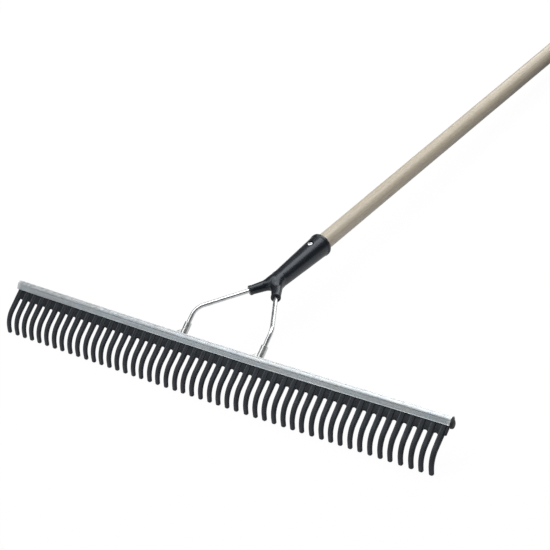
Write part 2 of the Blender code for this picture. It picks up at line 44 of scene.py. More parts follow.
# where the two working frames stand; the rake leans on tine tips and handle end
stand = {
    "headOrigin": (-0.00205, -0.8054839, 0.0546365),
    "headTilt": -56.2315,           # degrees, x along the rail, z towards the fork
    "forkOrigin": (-0.00205, -0.6572589, 0.0726392),
    "forkTilt": -2.2315,            # y runs up the handle
    "wingLift": 0.00285,            # the rail is bowed a little, its two wings stand higher
    "wingStart": 0.060, "wingEnd": 0.375, "wingCurve": 1.08,
}

headPlace = Matrix.Translation(stand["headOrigin"]) @ Matrix.Rotation(math.radians(stand["headTilt"]), 4, "X")
forkPlace = Matrix.Translation(stand["forkOrigin"]) @ Matrix.Rotation(math.radians(stand["forkTilt"]), 4, "X")


def bowed(points):
    # raise the wings towards the fork, softly from the middle
    out = np.array(points, float)
    start, end = stand["wingStart"], stand["wingEnd"]
    reach = np.clip((np.abs(out[:, 0]) - start) / (end - start), 0, 1)
    out[:, 2] += stand["wingLift"] * reach ** stand["wingCurve"]
    return out


def unit(value):
    # held between 0 and 1
    return min(1.0, max(0.0, value))


def carried(points, place):
    m = np.array(place)
    return np.asarray(points, float) @ m[:3, :3].T + m[:3, 3]


def skin(rings, capped=True, wear=None):
    # rings of points skinned to a shell, which is (points, faces, wear); wear goes by ring or by point
    rings = np.asarray(rings, float)
    rows, count = rings.shape[:2]
    faces = []
    for a in range(0, (rows - 1) * count, count):
        for i in range(count):
            j = (i + 1) % count
            faces.append((a + i, a + j, a + count + j, a + count + i))
    if capped:
        faces.append(tuple(range(count))[::-1])
        faces.append(tuple(range((rows - 1) * count, rows * count)))
    worn = np.zeros(rows) if wear is None else np.ravel(np.asarray(wear, float))
    if len(worn) == rows:
        worn = np.repeat(worn, count)
    return rings.reshape(-1, 3), faces, worn


def joined(shells):
    points, faces, worn, base = [], [], [], 0
    for p, f, w in shells:
        points.append(p)
        worn.append(w)
        faces += [tuple(i + base for i in face) for face in f]
        base += len(p)
    return np.vstack(points), faces, np.concatenate(worn)


def turnsOf(sides):
    return 2 * np.pi * (np.arange(sides) + 0.5) / sides


def latheRings(profile, sides, axis):
    # profile of (radius, distance); axis "y" or "z"
    turns = turnsOf(sides)
    rings = []
    for radius, distance in profile:
        a, b = radius * np.cos(turns), radius * np.sin(turns)
        flat = np.full(sides, distance)
        rings.append(np.stack((a, flat, b) if axis == "y" else (a, b, flat), 1))
    return np.array(rings)


def newObject(name, points, faces, material=None):
    mesh = bpy.data.meshes.new(name)
    mesh.from_pydata([tuple(p) for p in points], [], faces)
    if material:
        mesh.materials.append(material)
    made = bpy.data.objects.new(name, mesh)
    bpy.context.scene.collection.objects.link(made)
    return made


def addPiece(name, shell, place, slotName, angle, *nodes):
    # angle: edges sharper than this many degrees stay hard
    points, faces, worn = shell
    placed = carried(points, place)
    placed[:, 2] = np.maximum(placed[:, 2], 0.0)    # the tine tips rest on the floor
    piece = newObject(name, placed, faces, finishes[slotName])
    mesh = piece.data
    bm = bmesh.new()
    bm.from_mesh(mesh)
    bmesh.ops.recalc_face_normals(bm, faces=bm.faces[:])
    bm.to_mesh(mesh)
    bm.free()
    wearLayer = mesh.attributes.new("wear", "FLOAT", "POINT")
    wearLayer.data.foreach_set("value", np.clip(worn, 0, 1).astype(np.float32))
    mesh.shade_smooth()
    mesh.set_sharp_from_angle(angle=math.radians(angle))
    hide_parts(*nodes)
    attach(piece, "root")
    return piece


def plug(node, inputs):
    # each value is a socket to wire in, or a plain value to set on the node's own socket
    for key, value in inputs.items():
        if isinstance(value, bpy.types.NodeSocket):
            node.id_data.links.new(value, node.inputs[key])
        elif value is not None:
            node.inputs[key].default_value = value
    return node


def newNode(tree, kind, inputs=None, **settings):
    node = tree.nodes.new(kind)
    for key, value in settings.items():
        setattr(node, key, value)
    return plug(node, inputs or {})


def mixColour(tree, factor, first, second):
    first, second = [(*c, 1) if isinstance(c, tuple) else c for c in (first, second)]
    return newNode(tree, "ShaderNodeMix", {0: factor, 6: first, 7: second}, data_type="RGBA").outputs[2]


def calc(tree, operation, *values, clamp=False):
    node = newNode(tree, "ShaderNodeMath", dict(enumerate(values)), operation=operation, use_clamp=clamp)
    return node.outputs[0]


def spanned(tree, value, low, high, toLow, toHigh):
    # what runs from low to high is made to run from toLow to toHigh
    node = newNode(tree, "ShaderNodeMapRange", {
        "Value": value, "From Min": low, "From Max": high, "To Min": toLow, "To Max": toHigh})
    return node.outputs["Result"]


def toned(tree, colour, factor):
    return newNode(tree, "ShaderNodeVectorMath", {0: colour, "Scale": factor}, operation="SCALE").outputs[0]


def noise(tree, place, scale, detail, roughness):
    return newNode(tree, "ShaderNodeTexNoise", {
        "Vector": place, "Scale": scale, "Detail": detail, "Roughness": roughness}).outputs["Fac"]


def bump(tree, height, distance, strength=1.0, normal=None):
    return newNode(tree, "ShaderNodeBump", {
        "Height": height, "Distance": distance, "Strength": strength, "Normal": normal}).outputs["Normal"]


def newGroup(name, inputs, *outputs):
    # an input without a value is a vector, as is an output called Normal; the others are numbers
    tree = bpy.data.node_groups.new(name, "ShaderNodeTree")
    for label, value in inputs.items():
        kind = "NodeSocketVector" if value is None else "NodeSocketFloat"
        socket = tree.interface.new_socket(name=label, in_out="INPUT", socket_type=kind)
        if value is not None:
            socket.default_value = value
    for label in outputs:
        kind = "NodeSocketVector" if label == "Normal" else "NodeSocketFloat"
        tree.interface.new_socket(name=label, in_out="OUTPUT", socket_type=kind)
    return tree, tree.nodes.new("NodeGroupInput").outputs, tree.nodes.new("NodeGroupOutput")


def softBlotchesGroup():
    # cloudy patches, as on weathered zinc, moulded rubber or planed wood
    tree, given, result = newGroup("softBlotches", {
        "Place": None, "Scale": 60.0, "Detail": 3.0, "Low": 0.35, "High": 0.65}, "Mask")
    cloud = noise(tree, given["Place"], given["Scale"], given["Detail"], 0.6)
    ramp = newNode(tree, "ShaderNodeMapRange", {
        "Value": cloud, "From Min": given["Low"], "From Max": given["High"]}, interpolation_type="SMOOTHSTEP")
    plug(result, {"Mask": ramp.outputs["Result"]})
    return tree


def longStreaksGroup():
    # fine lines along the x of Place, as left by rolling, drawing or planing
    tree, given, result = newGroup("longStreaks", {
        "Place": None, "Fineness": 900.0, "Stretch": 0.03, "Contrast": 0.5}, "Mask", "Fine")
    apart = newNode(tree, "ShaderNodeSeparateXYZ", {0: given["Place"]}).outputs
    along = calc(tree, "MULTIPLY", apart["X"], given["Stretch"])
    squeezed = newNode(tree, "ShaderNodeCombineXYZ", {
        "X": along, "Y": apart["Y"], "Z": apart["Z"]}).outputs[0]
    broad = noise(tree, squeezed, given["Fineness"], 3.0, 0.55)
    fine = noise(tree, squeezed, calc(tree, "MULTIPLY", given["Fineness"], 3.7), 2.0, 0.7)
    for label, lines in (("Mask", broad), ("Fine", fine)):
        centred = calc(tree, "SUBTRACT", lines, 0.5)
        plug(result, {label: calc(tree, "MULTIPLY_ADD", centred, given["Contrast"], 0.5, clamp=True)})
    return tree


def fineSkinGroup():
    # the small unevenness of a moulded, cast or rolled skin, as a normal
    tree, given, result = newGroup("fineSkin", {
        "Place": None, "Scale": 900.0, "Depth": 0.00005, "Waves": 60.0, "Wave Depth": 0.0001}, "Normal")
    small = noise(tree, given["Place"], given["Scale"], 3.0, 0.6)
    wide = noise(tree, given["Place"], given["Waves"], 1.0, 0.5)
    waved = bump(tree, wide, given["Wave Depth"])
    plug(result, {"Normal": bump(tree, small, given["Depth"], normal=waved)})
    return tree


def wearAndHighlightGroup():
    # the wear painted on each piece's edges, broken up so that it looks rubbed; the same attribute carries
    # the painted highlights on the rail's top and the tine fronts
    tree, given, result = newGroup("wearAndHighlight", {
        "Place": None, "Scale": 350.0, "Amount": 0.8}, "Mask", "Painted")
    painted = newNode(tree, "ShaderNodeAttribute", attribute_name="wear").outputs["Fac"]
    patchy = spanned(tree, noise(tree, given["Place"], given["Scale"], 5.0, 0.7), 0.3, 0.7, 0.25, 1.0)
    mask = calc(tree, "MULTIPLY", painted, patchy)
    plug(result, {"Mask": calc(tree, "MULTIPLY", mask, given["Amount"], clamp=True), "Painted": painted})
    return tree


def dustFilmGroup():
    # pale dust on what faces up
    tree, given, result = newGroup("dustFilm", {"Place": None, "Scale": 120.0, "Amount": 0.3}, "Mask")
    facing = newNode(tree, "ShaderNodeNewGeometry").outputs["Normal"]
    facing = newNode(tree, "ShaderNodeSeparateXYZ", {0: facing}).outputs["Z"]
    patchy = spanned(tree, noise(tree, given["Place"], given["Scale"], 6.0, 0.75), 0.4, 0.75, 0.1, 1.0)
    mask = calc(tree, "MULTIPLY", spanned(tree, facing, -0.1, 0.9, 0.0, 1.0), patchy)
    plug(result, {"Mask": calc(tree, "MULTIPLY", mask, given["Amount"], clamp=True)})
    return tree


softBlotches, longStreaks, fineSkin = softBlotchesGroup(), longStreaksGroup(), fineSkinGroup()
wearAndHighlight, dustFilm = wearAndHighlightGroup(), dustFilmGroup()
print("shared shader groups made")

# the group that each pattern in a look is made with
patternGroups = {
    "clouds": softBlotches, "spangle": softBlotches, "streaks": longStreaks, "scuffs": longStreaks,
    "fibre": longStreaks, "pores": longStreaks, "wear": wearAndHighlight, "dust": dustFilm, "skin": fineSkin,
}


def useGroup(tree, group, place, values):
    return newNode(tree, "ShaderNodeGroup", {"Place": place, **values}, node_tree=group).outputs


def newMaterial(name):
    material = bpy.data.materials.new(name)
    material.use_nodes = True
    return material


# degrees about x and z that bring a piece's length to x
headTurn, forkTurn = (-stand["headTilt"], 0.0), (-stand["forkTilt"], 90.0)


def startMaterial(name, look, turned):
    # place: object coordinates turned with the piece; made: what each pattern in the look gives
    material = newMaterial(name)
    tree = material.node_tree
    place = newNode(tree, "ShaderNodeMapping", {
        "Vector": newNode(tree, "ShaderNodeTexCoord").outputs["Object"],
        "Rotation": (math.radians(turned[0]), 0, math.radians(turned[1]))}).outputs["Vector"]
    made = {key: useGroup(tree, group, place, look[key])
            for key, group in patternGroups.items() if key in look}
    return material, tree, place, made


def finished(material, inputs):
    plug(material.node_tree.nodes["Principled BSDF"], inputs)
    return material


def patchyColour(tree, look, made):
    # cloudy patches in the plain colour, then the rubbed edges
    colour = mixColour(tree, made["clouds"]["Mask"], look["colour"], look["patch"])
    return mixColour(tree, made["wear"]["Mask"], colour, look["worn"])


def paleWearAndHighlight(tree, look, made):
    # a pale layer over all that is painted as worn, with broken patches on it; on the rail's top and the tine
    # fronts it is a painted highlight
    broken, even = look["rub"]
    return calc(tree, "MULTIPLY_ADD", made["wear"]["Mask"], broken,
                calc(tree, "MULTIPLY", made["wear"]["Painted"], even))


# worn: the pale colour of worn edges and of the painted highlight on the bead's top
zincLook = {
    "colour": (0.42, 0.475, 0.515), "patch": (0.455, 0.48, 0.485), "light": (0.58, 0.63, 0.66),
    "worn": (0.97, 0.975, 0.98), "roughness": (0.36, 0.50), "highlightMatte": 0.72, "rub": (0.4, 0.6),
    "spangleShare": 0.45, "streakTone": (0.84, 1.12), "streakRough": 0.12, "lineDepth": 0.0001,
    "clouds": {"Scale": 26.0, "Detail": 4.0, "Low": 0.36, "High": 0.64},
    "spangle": {"Scale": 210.0, "Detail": 5.0, "Low": 0.38, "High": 0.66},
    "streaks": {"Fineness": 900.0, "Stretch": 0.02, "Contrast": 1.5}, "wear": {"Scale": 300.0, "Amount": 0.9},
    "skin": {"Scale": 700.0, "Depth": 0.00003, "Waves": 42.0, "Wave Depth": 0.0004},
}


def zincSheetMaterial():
    look = zincLook
    material, tree, _, made = startMaterial("zincSheet", look, headTurn)
    spangle, streaks = made["spangle"]["Mask"], made["streaks"]
    colour = mixColour(tree, made["clouds"]["Mask"], look["colour"], look["patch"])
    colour = mixColour(tree, calc(tree, "MULTIPLY", spangle, look["spangleShare"]), colour, look["light"])
    colour = toned(tree, colour, spanned(tree, streaks["Mask"], 0.2, 0.8, *look["streakTone"]))
    # the top of the bead carries a painted highlight, pale and less of a mirror than the sheet; worn edges
    # take the same pale colour
    pale = paleWearAndHighlight(tree, look, made)
    rough = spanned(tree, spangle, 0.0, 1.0, *look["roughness"])
    rough = calc(tree, "SUBTRACT", rough, look["streakRough"] / 2)
    return finished(material, {
        "Base Color": mixColour(tree, pale, colour, look["worn"]),
        "Metallic": spanned(tree, pale, 0.0, 1.0, 1.0, 1.0 - look["highlightMatte"]),
        "Roughness": calc(tree, "MULTIPLY_ADD", streaks["Fine"], look["streakRough"], rough),
        "Normal": bump(tree, streaks["Fine"], look["lineDepth"], 0.35, made["skin"]["Normal"])})


def plainMaterial(name, look, turned):
    # patchy colour, rubbed edges and a fine skin; streaks and patchy roughness where the look has them
    material, tree, _, made = startMaterial(name, look, turned)
    colour, rough = patchyColour(tree, look, made), look["roughness"]
    if "streaks" in made:
        colour = toned(tree, colour, spanned(tree, made["streaks"]["Mask"], 0.2, 0.8, *look["streakTone"]))
    if isinstance(rough, tuple):
        rough = spanned(tree, made["clouds"]["Mask"], 0.0, 1.0, *rough)
    return finished(material, {
        "Base Color": colour, "Metallic": look["metallic"], "Roughness": rough,
        "Normal": made["skin"]["Normal"]})


steelLook = {
    "metallic": 1.0, "colour": (0.56, 0.57, 0.56), "patch": (0.72, 0.73, 0.72), "worn": (0.80, 0.81, 0.80),
    "roughness": (0.32, 0.42), "wear": {"Scale": 500.0, "Amount": 0.9},
    "clouds": {"Scale": 160.0, "Detail": 5.0, "Low": 0.35, "High": 0.65},
    "skin": {"Scale": 900.0, "Depth": 0.00003, "Waves": 120.0, "Wave Depth": 0.00005},
}

brightLook = {
    "metallic": 1.0, "colour": (0.74, 0.75, 0.76), "patch": (0.60, 0.61, 0.61), "worn": (0.86, 0.86, 0.86),
    "roughness": (0.26, 0.34), "streakTone": (0.93, 1.05), "wear": {"Scale": 600.0, "Amount": 0.8},
    "clouds": {"Scale": 90.0, "Detail": 4.0, "Low": 0.4, "High": 0.7},
    "streaks": {"Fineness": 1400.0, "Stretch": 0.03, "Contrast": 1.4},
    "skin": {"Scale": 1200.0, "Depth": 0.00001, "Waves": 60.0, "Wave Depth": 0.00003},
}

# worn: the colour of the painted highlight on the tine fronts and of the worn tips
rubberLook = {
    "colour": (0.0050, 0.0064, 0.0092), "patch": (0.0090, 0.0112, 0.0150), "dusty": (0.120, 0.124, 0.130),
    "worn": (0.122, 0.131, 0.148), "roughness": (0.38, 0.52), "specular": 0.28, "sheen": (0.86, 0.93, 1.0),
    "rub": (0.3, 0.6), "wornRough": 0.2,
    "clouds": {"Scale": 70.0, "Detail": 4.0, "Low": 0.35, "High": 0.68},
    "wear": {"Scale": 420.0, "Amount": 0.75}, "dust": {"Scale": 260.0, "Amount": 0.10},
    "skin": {"Scale": 1500.0, "Depth": 0.00006, "Waves": 160.0, "Wave Depth": 0.00012},
}


def combRubberMaterial():
    look = rubberLook
    material, tree, _, made = startMaterial("combRubber", look, headTurn)
    clouds = made["clouds"]["Mask"]
    colour = mixColour(tree, clouds, look["colour"], look["patch"])
    # the fronts of the tines carry a painted highlight, more on their left edges
    colour = mixColour(tree, paleWearAndHighlight(tree, look, made), colour, look["worn"])
    rough = spanned(tree, clouds, 0.0, 1.0, *look["roughness"])
    return finished(material, {
        "Base Color": mixColour(tree, made["dust"]["Mask"], colour, look["dusty"]),
        "Specular IOR Level": look["specular"], "Specular Tint": (*look["sheen"], 1),
        "Roughness": calc(tree, "MULTIPLY_ADD", made["wear"]["Mask"], look["wornRough"], rough, clamp=True),
        "Normal": made["skin"]["Normal"]})


capLook = {
    "metallic": 0.0, "colour": (0.024, 0.024, 0.0245), "patch": (0.040, 0.040, 0.041),
    "worn": (0.09, 0.09, 0.09), "roughness": 0.6, "wear": {"Scale": 700.0, "Amount": 0.7},
    "clouds": {"Scale": 240.0, "Detail": 4.0, "Low": 0.3, "High": 0.7},
    "skin": {"Scale": 1800.0, "Depth": 0.00008, "Waves": 260.0, "Wave Depth": 0.0001},
}

plasticLook = {
    "colour": (0.0046, 0.0062, 0.0100), "patch": (0.0085, 0.0105, 0.0150), "dusty": (0.10, 0.10, 0.10),
    "worn": (0.05, 0.052, 0.057), "roughness": (0.24, 0.34), "sheen": (0.84, 0.93, 1.0), "wornRough": 0.2,
    "clouds": {"Scale": 55.0, "Detail": 3.0, "Low": 0.35, "High": 0.7},
    "scuffs": {"Fineness": 420.0, "Stretch": 0.12, "Contrast": 1.6},
    "wear": {"Scale": 500.0, "Amount": 0.8}, "dust": {"Scale": 300.0, "Amount": 0.05},
    "skin": {"Scale": 1300.0, "Depth": 0.00003, "Waves": 90.0, "Wave Depth": 0.00007},
}


def socketPlasticMaterial():
    look = plasticLook
    material, tree, _, made = startMaterial("socketPlastic", look, forkTurn)
    rough = spanned(tree, made["scuffs"]["Mask"], 0.2, 0.85, *look["roughness"])
    return finished(material, {
        "Base Color": mixColour(tree, made["dust"]["Mask"], patchyColour(tree, look, made), look["dusty"]),
        "Roughness": calc(tree, "MULTIPLY_ADD", made["wear"]["Mask"], look["wornRough"], rough, clamp=True),
        "Specular Tint": (*look["sheen"], 1), "Normal": made["skin"]["Normal"]})


woodLook = {
    "early": (0.57, 0.515, 0.415), "late": (0.48, 0.415, 0.318), "warm": (0.535, 0.46, 0.35),
    "pore": (0.32, 0.26, 0.19), "worn": (0.45, 0.40, 0.325), "roughness": (0.28, 0.40), "specular": 0.55,
    "ringShare": 0.62, "patchShare": 0.5, "poreShare": 0.55, "fibreTone": (0.88, 1.08),
    "poreSink": 1.5, "lineDepth": 0.00008, "pith": (0.0, 0.034, 0.021), "alongGrain": 0.10,
    "rings": {"Scale": 92.0, "Distortion": 2.4, "Detail": 3.0, "Detail Scale": 0.6, "Detail Roughness": 0.55},
    "patches": {"Scale": 26.0, "Detail": 2.0, "Low": 0.3, "High": 0.7},
    "fibre": {"Fineness": 650.0, "Stretch": 0.018, "Contrast": 1.5},
    "pores": {"Fineness": 1500.0, "Stretch": 0.03, "Contrast": 2.2}, "wear": {"Scale": 160.0, "Amount": 0.8},
}


def ashWoodMaterial():
    look = woodLook
    material, tree, place, made = startMaterial("ashWood", look, forkTurn)
    # after the turn the handle's length lies on x; rings are shells round a pith beside the handle
    slow = newNode(tree, "ShaderNodeMapping", {
        "Vector": place, "Scale": (look["alongGrain"], 1.0, 1.0), "Location": look["pith"]}).outputs["Vector"]
    rings = newNode(tree, "ShaderNodeTexWave", {"Vector": slow, **look["rings"]},
                    wave_type="RINGS", rings_direction="X", wave_profile="SAW").outputs["Fac"]
    patches = useGroup(tree, softBlotches, slow, look["patches"])["Mask"]
    fibre = made["fibre"]
    colour = mixColour(tree, calc(tree, "MULTIPLY", rings, look["ringShare"]), look["early"], look["late"])
    colour = mixColour(tree, calc(tree, "MULTIPLY", patches, look["patchShare"]), colour, look["warm"])
    colour = toned(tree, colour, spanned(tree, fibre["Mask"], 0.15, 0.85, *look["fibreTone"]))
    inPore = spanned(tree, made["pores"]["Mask"], 0.70, 0.86, 0.0, look["poreShare"])
    colour = mixColour(tree, inPore, colour, look["pore"])
    height = calc(tree, "SUBTRACT", fibre["Fine"], calc(tree, "MULTIPLY", inPore, look["poreSink"]))
    return finished(material, {
        "Base Color": mixColour(tree, made["wear"]["Mask"], colour, look["worn"]),
        "Roughness": spanned(tree, fibre["Fine"], 0.0, 1.0, *look["roughness"]),
        "Specular IOR Level": look["specular"], "Normal": bump(tree, height, look["lineDepth"], 0.5)})


finishes = {
    "zinc_sheet": zincSheetMaterial(),
    "bracket_steel": plainMaterial("bracketSteel", steelLook, headTurn),
    "bright_zinc": plainMaterial("brightZinc", brightLook, forkTurn),
    "comb_rubber": combRubberMaterial(),
    "cap_rubber": plainMaterial("capRubber", capLook, headTurn),
    "socket_plastic": socketPlasticMaterial(), "ash_wood": ashWoodMaterial(),
}
print("finishes made")

# the rubber comb; the tines about the middle lean to the left
comb = {
    "tines": {"comb_left": 16, "comb_middle": 16, "comb_right": 17}, "pitch": 0.0153, "firstTine": -0.3714,
    "joint": 0.0006, "rightEnd": 0.3747, "endBevel": 0.0004, "lastCorner": 0.0016,
    "rootWidth": 0.0066, "tipWidth": 0.0048, "thickness": 0.0050, "tipThickness": 0.0045, "rearward": 0.0004,
    "swell": 0.0014, "corner": (0.0007, 0.0010), "leftCorner": 0.0013, "seam": 0.00005,
    "crown": 0.14, "crownPower": 2.2, "crownTop": -0.0213, "crownRadius": 0.0047,
    "straight": 0.0183, "bendRadius": 0.0340, "bendAngle": math.radians(50), "hook": 0.0081,
    "tipRound": 0.0020, "tipNarrow": 0.0019, "tipThin": 0.0013, "tipCorner": 0.0004,
    # the tine fronts are painted lighter at root and tip, a painted highlight; the tips are also worn
    "rub": 0.5, "rubLength": 0.008, "rootPaintedHighlight": (0.06, 0.94), "tipPaintedHighlight": (0.74, 0.24),
    "ribTop": -0.0088, "webTop": -0.0100, "webHalf": 0.00125, "beadRadius": 0.0045,
    "seed": 7, "lean": 0.0007, "twist": 0.05, "leanPower": 1.7,
    "middleLean": -0.0026, "middleTine": 21.5, "middleSpread": 6.5,
}


def tineLine(distance):
    # centre line point (y, z) and rearward direction, distance counted below the crown
    straight, radius = comb["straight"], comb["bendRadius"]
    if distance <= straight:
        return np.array((0.0, comb["crownTop"] - distance)), np.array((1.0, 0.0))
    bend = min((distance - straight) / radius, comb["bendAngle"])
    start = comb["crownTop"] - straight
    point = np.array((radius * (1 - math.cos(bend)), start - radius * math.sin(bend)))
    rest = distance - straight - bend * radius
    down = np.array((math.sin(bend), -math.cos(bend)))
    return point + down * rest, np.array((math.cos(bend), math.sin(bend)))


def roundedBar(halfWide, halfThick, corner):
    # outline in (across, rearward) with a moulding seam halfway down each side
    most = min(halfWide, halfThick) * 0.95
    points = []
    for sx, sy, start in ((1, 1, 0), (-1, 1, 90), (-1, -1, 180), (1, -1, 270)):
        radius = min(comb["leftCorner"] if start == 180 else corner, most)
        for k in range(5):
            turn = math.radians(start + 22.5 * k)
            points.append((sx * (halfWide - radius) + radius * math.cos(turn),
                           sy * (halfThick - radius) + radius * math.sin(turn)))
        if start in (90, 270):
            points.append((sx * (halfWide + comb["seam"]), 0.0))
        if start == 180:
            points += [(halfWide * share, -halfThick) for share in (-0.6, -0.3, 0.0, 0.3, 0.6)]
    # the front is crowned: it falls back towards both sides
    fall = comb["crown"] * halfThick
    return [(a, b + fall * (abs(a) / halfWide) ** comb["crownPower"] if b < -0.2 * halfThick else b)
            for a, b in points]


def tineShell(xMiddle, lean, twist):
    c = comb
    length = c["straight"] + c["bendRadius"] * c["bendAngle"] + c["hook"]
    top = c["crownTop"] - c["ribTop"]
    stops = [top - 0.0004, top, -0.008, -0.004, 0.0, 0.004, 0.008, 0.012]
    stops += [c["straight"] + 0.0024 * i for i in range(-1, 13)]
    stops += [length - 0.0075, length - 0.0045]
    stops += [length - c["tipRound"] * (1 - math.sin(a)) for a in np.linspace(0, math.pi / 2, 7)[:-1]]
    rings, wear = [], []
    for s in stops:
        share = unit(s / length)
        nearTip = max(0.0, (s - (length - c["tipRound"])) / c["tipRound"])
        shrink = 1 - math.sqrt(max(0.0, 1 - nearTip ** 2))
        halfWide = (c["rootWidth"] + c["swell"] + (c["tipWidth"] - c["rootWidth"]) * share) / 2
        halfWide -= c["tipNarrow"] * shrink
        halfThick = (c["thickness"] + (c["tipThickness"] - c["thickness"]) * share) / 2
        halfThick -= c["tipThin"] * shrink
        corner = c["corner"][0] + (c["corner"][1] - c["corner"][0]) * share + c["tipCorner"] * nearTip
        tipRub = max(0.0, (s - (length - c["rubLength"])) / c["rubLength"]) * c["rub"]
        centre, rear = tineLine(s)
        sway = lean * share ** c["leanPower"]
        ring = []
        for a, b in roundedBar(halfWide, halfThick, corner):
            # the front carries a painted highlight, near the root on its left edge
            left = unit((-a / halfWide - 0.30) / 0.5)
            highlightAtRoot = c["rootPaintedHighlight"][0] + c["rootPaintedHighlight"][1] * left
            highlightAtTip = c["tipPaintedHighlight"][0] - c["tipPaintedHighlight"][1] * a / halfWide
            front = highlightAtRoot * (1 - share) + highlightAtTip * share
            wear.append(max(front if b < -0.25 * halfThick else 0.0, tipRub))
            back = b + a * twist * share + c["rearward"]
            ring.append((xMiddle + a + sway, centre[0] + back * rear[0], centre[1] + back * rear[1]))
        rings.append(ring)
    return skin(rings, wear=wear)


def webShell(start, count, isLast):
    # bead, neck and web in one ring, its foot following the crowns between the tines
    pitch, root, radius = comb["pitch"], comb["rootWidth"], comb["crownRadius"]
    half, bead, bevel, corner = comb["webHalf"], comb["beadRadius"], comb["endBevel"], comb["lastCorner"]
    top = comb["crownTop"]
    centre, gap = top - radius, (pitch - root) / 2
    end = comb["rightEnd"] - start if isLast else count * pitch
    stations = [(comb["joint"], centre)]
    for i in range(count):
        left, right = i * pitch, i * pitch + root
        if i:
            stations.append((left + 0.5 * root, centre))
        for dx in np.linspace(-gap, gap, 13):
            x = right + gap + dx
            low = centre + math.sqrt(radius ** 2 - dx ** 2)
            if isLast and i == count - 1:
                # past the last tine the foot runs straight to the rail's end
                low = top - corner * max(0.0, 1 - (x - right) / corner) ** 2
                if x > end:
                    continue
            stations.append((x, low))
    if isLast:
        stations.append((end - bevel, top))
    stations.append((end, top + bevel if isLast else centre))
    neck = math.asin(half / bead)
    rings = []
    for x, low in stations:
        ring = [(start + x, bead * math.cos(turn), bead * math.sin(turn))
                for turn in np.linspace(1.5 * math.pi - neck, -0.5 * math.pi + neck, 21)]
        ring.append((start + x, half, comb["webTop"]))
        ring += [(start + x, half * math.cos(turn), low + half + half * math.sin(turn))
                 for turn in np.linspace(0, -math.pi, 7)]
        ring.append((start + x, -half, comb["webTop"]))
        rings.append(ring)
    return skin(rings)


def buildComb():
    rng = random.Random(comb["seed"])
    start, number = comb["firstTine"], 0
    for name, count in comb["tines"].items():
        shells = [webShell(start, count, name == "comb_right")]
        for i in range(count):
            bent = math.exp(-((number - comb["middleTine"]) / comb["middleSpread"]) ** 4)
            lean = comb["middleLean"] * bent + rng.uniform(-comb["lean"], comb["lean"])
            middle = start + comb["rootWidth"] / 2 + i * comb["pitch"]
            shells.append(tineShell(middle, lean, rng.uniform(-comb["twist"], comb["twist"])))
            number += 1
        points, faces, worn = joined(shells)
        addPiece(name + "_rubber", (bowed(points), faces, worn), headPlace, "comb_rubber", 40, name)
        start += count * comb["pitch"] + comb["joint"]
    print("comb built,", number, "tines")


buildComb()

# the folded rail: flat faces, a round top and turned lips
rail = {
    "length": 0.750, "sheet": 0.0010, "topRadius": 0.0058, "beadStart": -15.0, "groove": -0.0023,
    "slope": 0.314, "lip": (0.0028, -0.0085), "lipTurn": (0.0029, -0.0074), "lipTop": -0.0079,
    # bright: the angles round the bead over which its top is painted white, a painted highlight
    "bright": (0.0, 70.0), "highlightPower": 1.2, "grooveLightening": 0.12, "lipWear": 0.1, "endWear": 0.8,
    "wave": 0.00007, "waveFade": 0.02, "stations": 121,
}


def railOutline():
    radius, start = rail["topRadius"], math.radians(rail["beadStart"])
    turnY, turnZ = rail["lipTurn"]

    def face(z):
        return turnY + (z - turnZ) * rail["slope"], z

    low = face(rail["groove"])
    bead = (radius * math.cos(start), radius * math.sin(start))
    half = [rail["lip"], (turnY - 0.00002, turnZ - 0.0003), rail["lipTurn"], face(turnZ + 0.0004)]
    half += [face(low[1] - 0.0004), low]
    half += [(low[0] + 0.00030, low[1] + 0.00015), (bead[0] - 0.00022, bead[1] - 0.00030)]
    half += [(radius * math.cos(t), radius * math.sin(t)) for t in np.linspace(start, math.pi / 2, 19)]
    outer = [(-y, z) for y, z in half] + half[::-1][1:]
    # the inside lies one sheet's thickness in from the outside
    line = [Vector(p) for p in outer]
    ways = [(b - a).normalized() for a, b in zip(line, line[1:])]
    inner = []
    for point, before, after in zip(line, ways[:1] + ways, ways + ways[-1:]):
        way = (before + after).normalized()
        inner.append(point + Vector((way.y, -way.x)) * rail["sheet"] / max(0.8, way.dot(before)))
    return outer + [tuple(p) for p in inner[::-1]]


def buildRail():
    ring, half = railOutline(), rail["length"] / 2
    lowest, highest = rail["bright"]
    foot, groove = rail["lipTurn"][1], rail["groove"]
    wear = []
    for y, z in ring:
        # the bead's top is painted white, a painted highlight that grows with the angle round the bead
        height = math.degrees(math.atan2(z, abs(y)))
        topHighlight = unit((height - lowest) / (highest - lowest)) ** rail["highlightPower"]
        # the face is painted lighter towards the groove
        below = rail["grooveLightening"] * unit((z - foot) / (groove - foot))
        wear.append(max(topHighlight, rail["lipWear"] if z < rail["lipTop"] else below))
    rings, worn = [], []
    for x in np.linspace(-half, half, rail["stations"]):
        toEnd = half - abs(x)
        wave = rail["wave"] * (math.sin(x * 71 + 0.6) + 0.6 * math.sin(x * 163 + 2.0))
        push = abs(wave * min(1, toEnd / rail["waveFade"]))
        rings.append([(x, y - push, z) if y < -0.002 else (x, y, z) for y, z in ring])
        worn.append([min(1, w + (rail["endWear"] if toEnd < 0.0006 else 0)) for w in wear])
    points, faces, worn = skin(rings, wear=worn)
    addPiece("rail_sheet", (bowed(points), faces, worn), headPlace, "zinc_sheet", 17, "rail")
    print("rail built")


buildRail()

# the plug in the rail's right end
endCap = {
    "halfWidth": 0.0061, "halfHeight": 0.0068, "middle": -0.0039, "rearward": 0.0006, "square": 0.86,
    "face": 0.0003, "flange": 0.0006, "nose": 0.0032, "tip": 0.52, "droop": -0.0018,
    "spigot": 0.0100, "spigotRadius": 0.0045, "spigotBevel": 0.0006, "sides": 40,
}


